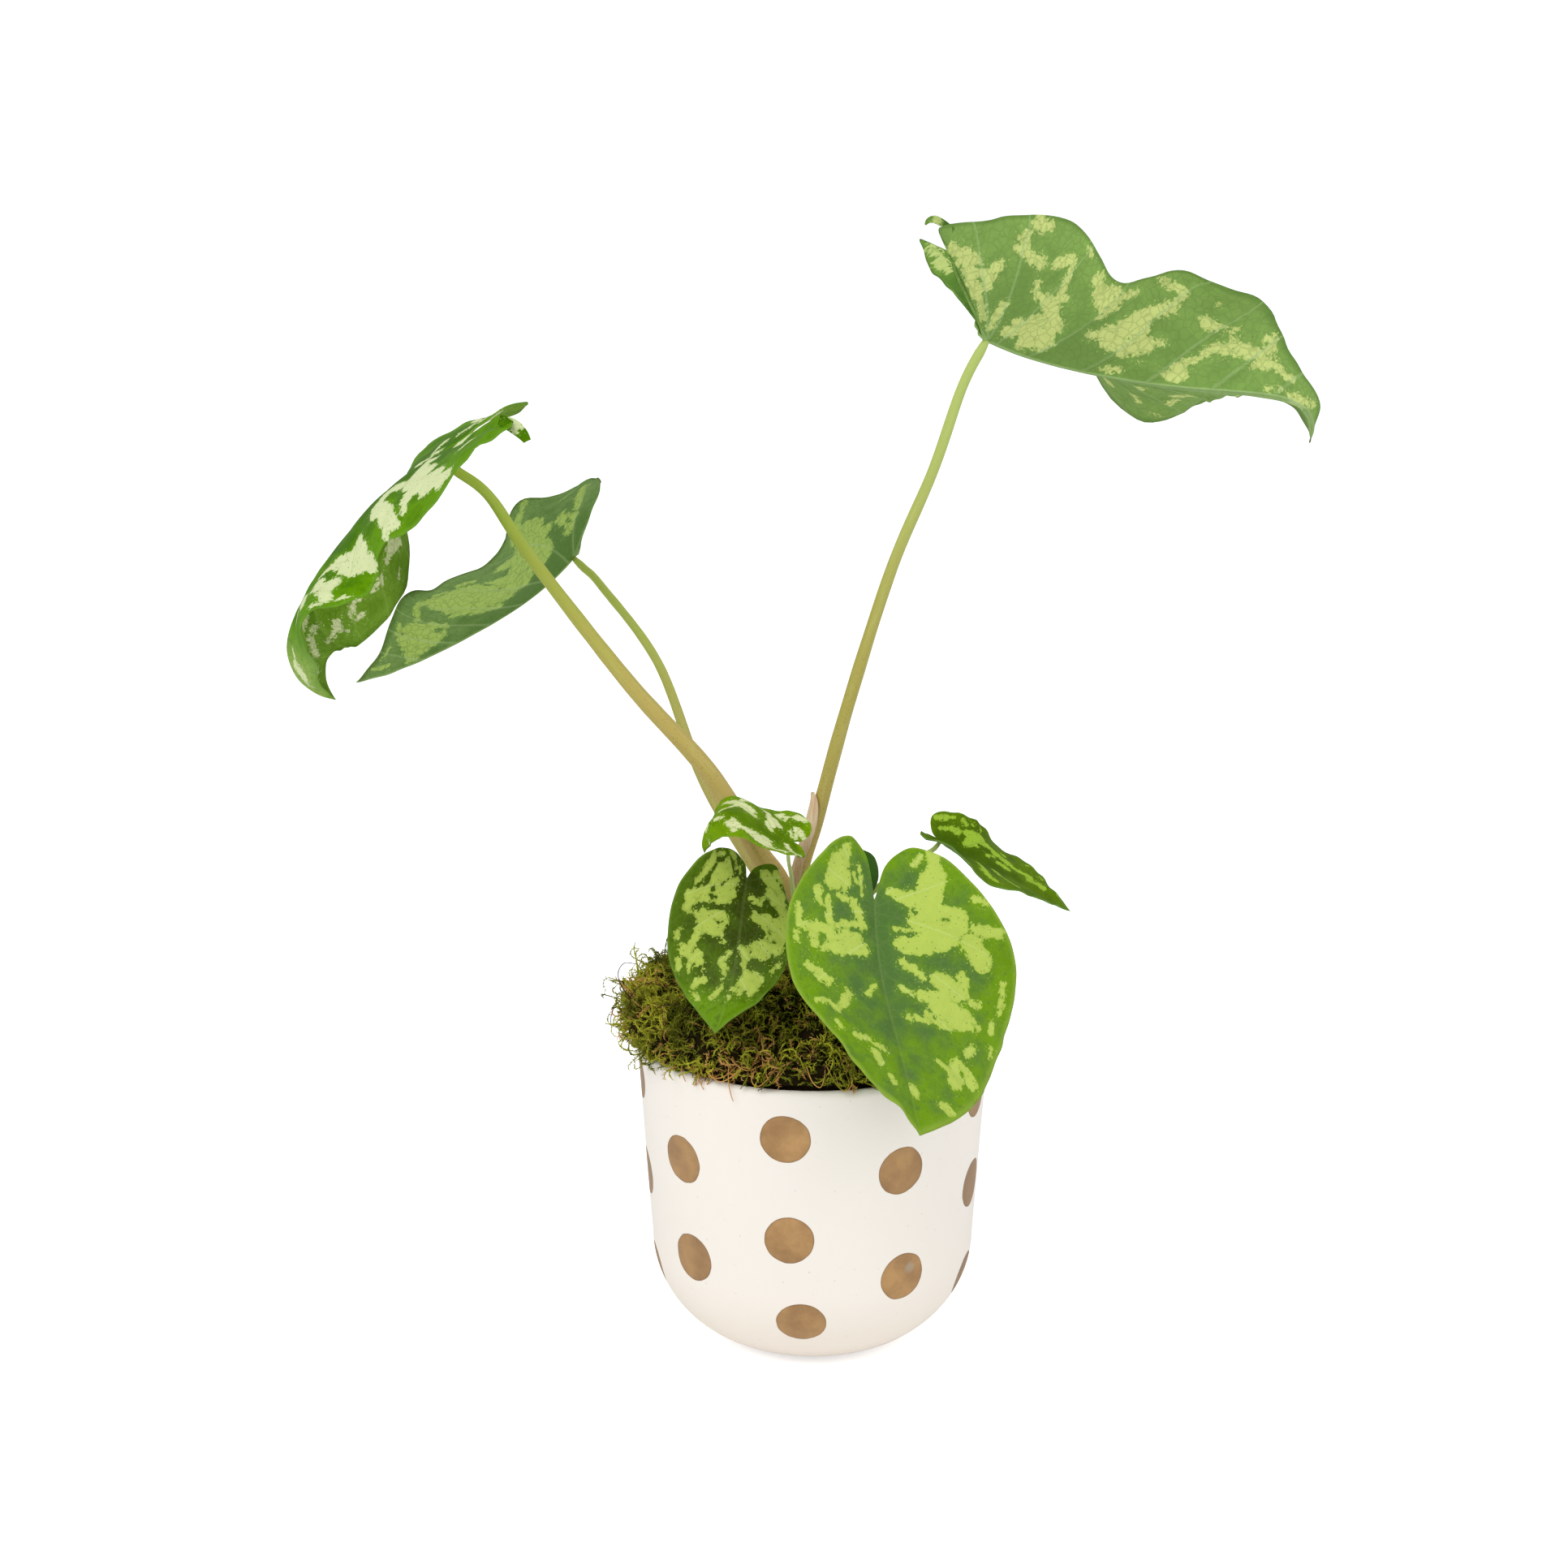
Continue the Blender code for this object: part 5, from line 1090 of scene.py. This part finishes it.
def moss_rows(around, along):
    """Pillow of moss: rings that leave the inner wall, clear the lip, bulge at the left and close over the
    crown, pushed in and out by hills of three sizes."""
    ang = np.linspace(0, 2 * np.pi, around + 1)[:-1]
    left = np.clip(-np.cos(ang), 0, 1) ** 1.5
    front = np.clip(-np.sin(ang), 0, 1)
    inner = float(pot_inside(np.array(MOSS_FOOT))) - .55
    rim = inner + 1.2 + MOSS_SPILL * left
    rings = [(inner + 0 * ang, MOSS_FOOT + 0 * ang), (inner + .1 + 0 * ang, POT_HIGH + .5 + 0 * ang),
             (rim, POT_HIGH + 1 + 0 * ang), (rim + 1.5 * left, POT_HIGH + 4 + 3 * left),
             (rim - .5 + .5 * left, POT_HIGH + 7 + 7 * left - 2 * front)]
    for f in (.86, .70, .52, .34, .17, .03):
        crown = POT_HIGH + 8 + (MOSS_TOP - POT_HIGH - 8) * (1 - f ** 2.2)
        rings.append((rim * f, crown + 8 * left * f ** 2 * (1 - .3 * f) - 3 * front * f))
    radius, high = np.array([a for a, b in rings]), np.array([b for a, b in rings])
    s = np.linspace(0, 1, along)
    radius, high = through(radius, s), through(high, s)
    rows = np.stack([radius * np.cos(ang), radius * np.sin(ang), high], -1)
    free = np.clip((high - POT_HIGH - 1) / 4, 0, 1)[..., None]
    outward = rows - (0, 0, MOSS_FOOT - 10)
    outward /= np.linalg.norm(outward, axis=-1, keepdims=True)
    hills = 1.5 * lumps(rows, 17, 3) + .9 * lumps(rows, 8, 5) + .45 * lumps(rows, 3.5, 7)
    return rows + outward * (hills[..., None] - 1.0) * free


def many_tubes(name, paths, radii, sides, finish, values):
    """Many thin closed tubes in one mesh. paths is (number, stations, 3), radii is (number, stations).
    Each ring stands square to its path, and both ends close to a point. values are named numbers per
    station."""
    n, k = radii.shape
    ahead = np.gradient(paths, axis=1)
    ahead /= np.linalg.norm(ahead, axis=2, keepdims=True) + 1e-9
    ref = np.where(np.abs(ahead[..., 2:]) > .9, np.array([1.0, 0, 0]), np.array([0, 0, 1.0]))
    side = np.cross(ahead, ref)
    side /= np.linalg.norm(side, axis=2, keepdims=True) + 1e-9
    other = np.cross(ahead, side)
    ang = np.linspace(0, 2 * np.pi, sides + 1)[:-1]
    ring = np.cos(ang)[:, None] * side[:, :, None] + np.sin(ang)[:, None] * other[:, :, None]
    rings = paths[:, :, None] + ring * radii[:, :, None, None]
    tips = np.stack([paths[:, 0] - ahead[:, 0] * radii[:, :1],
                     paths[:, -1] + ahead[:, -1] * radii[:, -1:]], 1)
    per = k * sides + 2
    points = np.concatenate([rings.reshape(n, -1, 3), tips], 1).reshape(-1, 3) * .001
    i, j = np.meshgrid(np.arange(k - 1), np.arange(sides), indexing="ij")
    i, j = i.ravel(), j.ravel()
    nxt = (j + 1) % sides
    quads = np.stack([i * sides + j, i * sides + nxt, (i + 1) * sides + nxt, (i + 1) * sides + j], -1)
    around = np.arange(sides)
    low = np.stack([np.full(sides, k * sides), (around + 1) % sides, around], -1)
    last = (k - 1) * sides
    high = np.stack([np.full(sides, k * sides + 1), last + around, last + (around + 1) % sides], -1)
    shift = (np.arange(n) * per)[:, None, None]
    ends = np.concatenate([low, high])
    mesh = bpy.data.meshes.new(name)
    faces = (quads + shift).reshape(-1, 4).tolist() + (ends + shift).reshape(-1, 3).tolist()
    mesh.from_pydata(points.tolist(), [], faces)
    mesh.polygons.foreach_set("use_smooth", np.ones(len(mesh.polygons), bool))
    mesh.materials.append(finish)
    for key, grid in values.items():
        mark(mesh, key, np.concatenate([np.repeat(grid, sides, axis=1), grid[:, :1], grid[:, -1:]], 1))
    return placed(name, mesh)


def moss_finish(name, *cards):
    """Moss stems: near black where they lie deep, olive above, yellower on top, and brown where a strand has
    dried: these are the four paint cards. The near black is partly the darker old stems and partly painted
    shade deep in the moss. A dry patch lies at the front, left of the middle."""
    low, mid, high, odd = [tone(*card) for card in cards]
    mat, tree, shader = finish_named(name, .8, Specular_IOR_Level=.12)
    reach = marked(tree, "reach")
    own = marked(tree, "own")
    place = object_place(tree)
    patch = speckle(tree, place, 70.0, 2.0)
    # Darker the lower a point sits above the pillow: partly old stems, partly painted shade of the depths
    stem = blend_colours(tree, rise_between(tree, reach, .0, .42), low, mid)
    stem = blend_colours(tree, times(tree, rise_between(tree, reach, .35, .9),
                                    rise_between(tree, patch, .32, .62)), stem, high)
    away = vector(tree, "DISTANCE", place, (-.022, -.05, .112))
    bare = calc(tree, "MULTIPLY_ADD", rise_between(tree, away, .02, .004), .3, times(tree, patch, .5))
    dried = rise_between(tree, calc(tree, "ADD", bare, own), 1.12, 1.22)
    stem = blend_colours(tree, dried, stem, odd)
    # Painted shade: the lowest parts of every strand are pulled further towards near black
    stem = blend_colours(tree, times(tree, rise_between(tree, reach, .25, .0), .6), stem, low)
    tree.links.new(stem, shader.inputs["Base Color"])
    raise_surface(tree, shader, speckle(tree, place, 2600.0, 2.0), .0002, .7)
    return mat


felt_and_gap_shade, tree, shader = finish_named("moss_felt_and_gap_shade", .95, Specular_IOR_Level=.1)
place = object_place(tree)
threads = speckle(tree, place, 700.0, 6.0, .75)
# Near black with brown threads: partly old stems, partly painted shade for the gaps between the tufts
ground = blend_colours(tree, threads, tone(14, 10, 4), tone(56, 44, 18))
patch = rise_between(tree, speckle(tree, place, 55.0, 3.0), .56, .7)
ground = blend_colours(tree, patch, ground, tone(74, 52, 28))
tree.links.new(ground, shader.inputs["Base Color"])
raise_surface(tree, shader, threads, .0012, .9)
pillow = moss_rows(220, 96)
moss_pillow = shell("moss_pillow", pillow, [felt_and_gap_shade])
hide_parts("moss")
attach(moss_pillow, "root")


def corners_of(name, every):
    """Points of a piece already made, thinned to one in every few, in mm."""
    at = numbers_of(bpy.data.objects[name].data.vertices, "co", np.float32, 3)
    return at.reshape(-1, 3)[::every].astype(float) * 1000


def near_any(points, others):
    """Distance from each point to the nearest of the others, worked out in slices to spare memory."""
    square = (others ** 2).sum(1)
    slices = np.array_split(points, len(points) // 1500 + 1)
    least = [((p ** 2).sum(1)[:, None] + square - 2 * p @ others.T).min(1) for p in slices]
    return np.sqrt(np.clip(np.concatenate(least), 0, None))


# Moss was tucked round what was already standing, so no strand starts close to a stem or a low leaf
standing = np.concatenate([corners_of(f"stem_{k}", 5) for k in STEMS]
                          + [corners_of(f"leaf_{k}", 9) for k in (5, 6)])
standing = standing[(standing[:, 2] > POT_HIGH - 4) & (standing[:, 2] < MOSS_TOP + 10)]


def seats_on(rows, count, seed, keep):
    """Random seats spread evenly over a skin, as keep weighs its places. Gives the points, their outward
    directions and the random draws to go on with."""
    rng = np.random.default_rng(seed)
    a, b = np.roll(rows, -1, 1)[:-1] - rows[:-1], rows[1:] - rows[:-1]
    out = np.cross(a, b)
    area = np.linalg.norm(out, axis=2)
    share = (area * keep(rows[:-1])).ravel()
    cell = rng.choice(len(share), count, p=share / share.sum())
    u, v = rng.random((2, count, 1))
    at = rows[:-1].reshape(-1, 3)[cell] + a.reshape(-1, 3)[cell] * u + b.reshape(-1, 3)[cell] * v
    return at, out.reshape(-1, 3)[cell] / (area.ravel()[cell][:, None] + 1e-9), rng


def winding_paths(count, seed, steps, step, curl, high, keep, stand):
    """Paths of winding moss stems, all walked at once. From its seat each takes equal steps; its direction
    turns round its own axis by about curl radians a step and is drawn back to its own height above the
    pillow. stand is how steeply it sets out. Gives the paths, how far each point stands above the pillow,
    and the random draws to go on with."""
    seat, out, rng = seats_on(pillow, count, seed, keep)
    free = near_any(seat + out, standing) > MOSS_GAP
    seat, out = seat[free], out[free]
    n = len(seat)
    axis = out * rng.choice((-1, 1), (n, 1)) * rng.uniform(.2, 1.5, (n, 1))
    axis = unit(axis + rng.normal(size=(n, 3)) * .55)
    ahead = rng.normal(size=(n, 3))
    ahead = unit(ahead - (ahead * out).sum(1, keepdims=True) * out + out * stand * rng.uniform(.2, 2, (n, 1)))
    turn = curl * rng.uniform(.2, 1.6, (n, 1))
    tuft = np.clip(.75 + .5 * lumps(seat, 9, 31), .15, 1.6)[:, None]
    level = high * tuft * rng.uniform(.2, 1.15, (n, 1))
    stride = step * rng.uniform(.65, 1.3, (n, 1))
    here, path, climbs = seat - out * .5, [], []
    for _ in range(steps):
        climb = ((here - seat) * out).sum(1, keepdims=True)
        path.append(here), climbs.append(climb)
        ahead = ahead * np.cos(turn) + np.cross(axis, ahead) * np.sin(turn) \
            + axis * (axis * ahead).sum(1, keepdims=True) * (1 - np.cos(turn))
        ahead = unit(ahead + out * np.clip((level - climb) * .35, -.5, .5))
        here = here + ahead * stride
    return np.stack(path, 1), np.concatenate(climbs, 1), rng


def leaflets(name, path, reach, own, size, rng, finish):
    """Tiny pointed moss leaves in two ranks: at every step a closed three-sided spike starts inside the stem
    on each side and leans forwards and out."""
    n, k = reach.shape
    ahead = unit(np.gradient(path, axis=1))
    side = unit(np.cross(ahead, rng.normal(size=(n, 1, 3))))
    base = np.stack([path, path + ahead * size * .35], 2)
    way = unit(ahead[:, :, None] * .7 + side[:, :, None] * np.array([[1.0], [-1.0]]) * .8
               + rng.normal(size=(n, k, 2, 3)) * .25)
    across = unit(np.cross(way, rng.normal(size=(n, k, 2, 3))))
    other = np.cross(way, across)
    ang = np.radians((0, 120, 240))
    ring = base[..., None, :] + size * .16 * (np.cos(ang)[:, None] * across[..., None, :]
                                              + np.sin(ang)[:, None] * other[..., None, :])
    tip = base + way * size * rng.uniform(.6, 1.3, (n, k, 2, 1))
    points = np.concatenate([ring, tip[..., None, :]], 3).reshape(-1, 3) * .001
    first = np.arange(n * k * 2)[:, None, None] * 4
    faces = (first + np.array([(0, 1, 3), (1, 2, 3), (2, 0, 3), (0, 2, 1)])).reshape(-1, 3)
    mesh = bpy.data.meshes.new(name)
    mesh.from_pydata(points.tolist(), [], faces.tolist())
    mesh.materials.append(finish)
    for key, grid in (("reach", np.clip(reach + .15, 0, 1)), ("own", own)):
        mark(mesh, key, np.repeat(grid.ravel(), 8))     # two spikes of four points at each step
    piece = placed(name, mesh)
    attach(piece, "root")


def curly_strands(name, count, seed, steps, step, radius, curl, high, finish, keep, stand=.4, leafy=0.0):
    """Winding stems that swell and thin from step to step, with leaflets of leafy mm where it isn't 0."""
    path, climbs, rng = winding_paths(count, seed, steps, step, curl, high, keep, stand)
    whorl = 1 + .3 * (-1.0) ** np.arange(steps)
    whorl[-2:] *= (.8, .4)
    thick = radius * rng.uniform(.65, 1.35, (len(path), 1)) * whorl
    reach, own = np.clip(climbs / 3.2 + .12, 0, 1), np.broadcast_to(rng.random((len(path), 1)), thick.shape)
    piece = many_tubes(name, path, thick, 3, finish, {"reach": reach, "own": own})
    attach(piece, "root")
    if leafy:
        leaflets(f"{name}_leaflets", path[:, 1:], reach[:, 1:], own[:, 1:], leafy, rng, finish)


def evenly(p):
    """All the moss above the rim, and the spill at the left."""
    return (p[..., 2] > POT_HIGH + np.where(p[..., 0] < -35, 1.0, 1.9)) * 1.0


def in_tufts(p):
    """Thick on the hills and thin in the dark gaps between them."""
    return evenly(p) * np.clip(.62 + 1.1 * lumps(p, 6.5, 21), .04, 1.6)


def at_left(p):
    """The ragged spill over the left of the rim."""
    return evenly(p) * (p[..., 0] < -50) * (p[..., 2] < POT_HIGH + 18)


# The first card of each moss is near black: partly old stems, partly painted shade deep in the moss
green_moss = moss_finish("moss_green", (26, 22, 6), (100, 106, 22), (186, 186, 54), (204, 154, 88))
olive_moss = moss_finish("moss_olive", (24, 19, 6), (92, 90, 26), (132, 130, 46), (196, 148, 86))
curly_strands("moss_tangle", 1700, 11, 10, .95, .25, .34, 2.4, green_moss, in_tufts, leafy=1.25)
curly_strands("moss_shoots_low", 3400, 12, 6, .8, .25, .40, 1.4, olive_moss, evenly, .5)
curly_strands("moss_shoots_high", 3000, 13, 6, .85, .25, .38, 3.0, green_moss, in_tufts, 1.0, leafy=1.15)
curly_strands("moss_strays", 240, 14, 14, .95, .2, .2, 6.0, green_moss, at_left, 1.8, leafy=1.2)


def laid_strands(name, routes, radius, finish):
    """Single strands laid one by one. Each route is (degrees round the pot from the front to the right,
    distance from the axis, height) from point to point, joined by one smooth curve."""
    path, even = [], np.linspace(0, 1, STRAND_STEPS)
    for route in routes:
        turn, away, high = np.array(route, float).T
        turn = np.radians(turn)
        path.append(through(np.stack([away * np.sin(turn), -away * np.cos(turn), high], 1), even))
    path = np.stack(path)
    knots = 1 + .1 * np.sin(np.arange(STRAND_STEPS) * 2.4 + np.arange(len(path))[:, None])
    thick = radius * np.linspace(1, .55, STRAND_STEPS) * knots
    own = np.broadcast_to(np.linspace(.9, 1, len(path))[:, None], thick.shape)
    piece = many_tubes(name, path, thick, 5, finish, {"reach": 0 * thick + .8, "own": own})
    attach(piece, "root")


root_tan = moss_finish("root_tan", (150, 108, 54), (200, 148, 78), (220, 176, 108), (210, 156, 84))
hair_dark = moss_finish("hair_dark", (50, 34, 18), (66, 46, 24), (84, 60, 32), (60, 42, 22))
laid_strands("front_roots", (
    ((-46, 49, 117), (-43, 54, 113.5), (-39, 60, 109.4), (-36.5, 61.4, 106.4), (-36, 60.9, 104.8)),
    ((-31, 50, 116.5), (-30, 55, 113), (-27.5, 60, 109.3), (-26, 61.4, 105.5), (-25.4, 61.0, 103.2)),
    ((-40, 51, 115), (-37, 57, 112), (-33, 60.6, 109.6), (-29, 59.4, 110.6), (-26, 54, 114)),
    ((-24, 51, 116), (-25, 57, 112.5), (-29, 60.9, 109.2), (-33, 60.2, 109.8), (-36, 55, 113)),
    ((-20, 48, 118), (-18, 54, 114.5), (-14, 59, 110.5), (-12, 58, 111.4), (-9, 53, 115)),
    ((-12, 50, 117), (-14, 56, 112.6), (-17, 60.4, 109.4), (-20, 59.2, 110.4), (-22, 53, 114.6)),
    ((-50, 50, 117), (-48, 56, 113), (-45, 61, 109.6), (-43.6, 61.4, 107), (-43, 61.2, 105.8)),
    ((-34, 46, 119.5), (-31, 52, 116.5), (-27, 56, 114), (-22, 57, 112.8), (-17, 54, 114.8)),
    ((-44, 47, 119), (-40, 53, 115.8), (-35, 57, 113.4), (-31, 55, 114.8), (-27, 50, 117.8)),
), .26, root_tan)
laid_strands("front_loops", (
    ((4, 53, 114.5), (6, 58.5, 111), (8.5, 61, 109), (10.5, 59.6, 110.4), (10, 55, 113.4)),
    ((12, 54, 114), (11.5, 59, 110.8), (9.5, 61.2, 108.8), (7.5, 60.4, 109.6), (6.5, 56, 113)),
    ((-3, 53, 114.5), (-1, 58, 111.2), (1.5, 60, 109.8), (3, 57.5, 112), (3.5, 53, 114.8)),
), .22, green_moss)
laid_strands("fine_hairs", (
    ((-72, 60, 116), (-74, 63.5, 122), (-72, 62, 128.5), (-68, 58, 131.5), (-63, 53, 130)),
    ((-82, 60, 119), (-85, 64.5, 124), (-88, 66, 128), (-90, 64, 131), (-92, 60, 130)),
    ((-64, 56, 118), (-62, 60, 123), (-58, 59, 127), (-54, 55, 127.5), (-50, 50, 124)),
    ((-96, 61, 116), (-98, 66.5, 114.5), (-99, 69.5, 110.5), (-98.5, 70.4, 107), (-98, 70, 104.5)),
), .22, hair_dark)
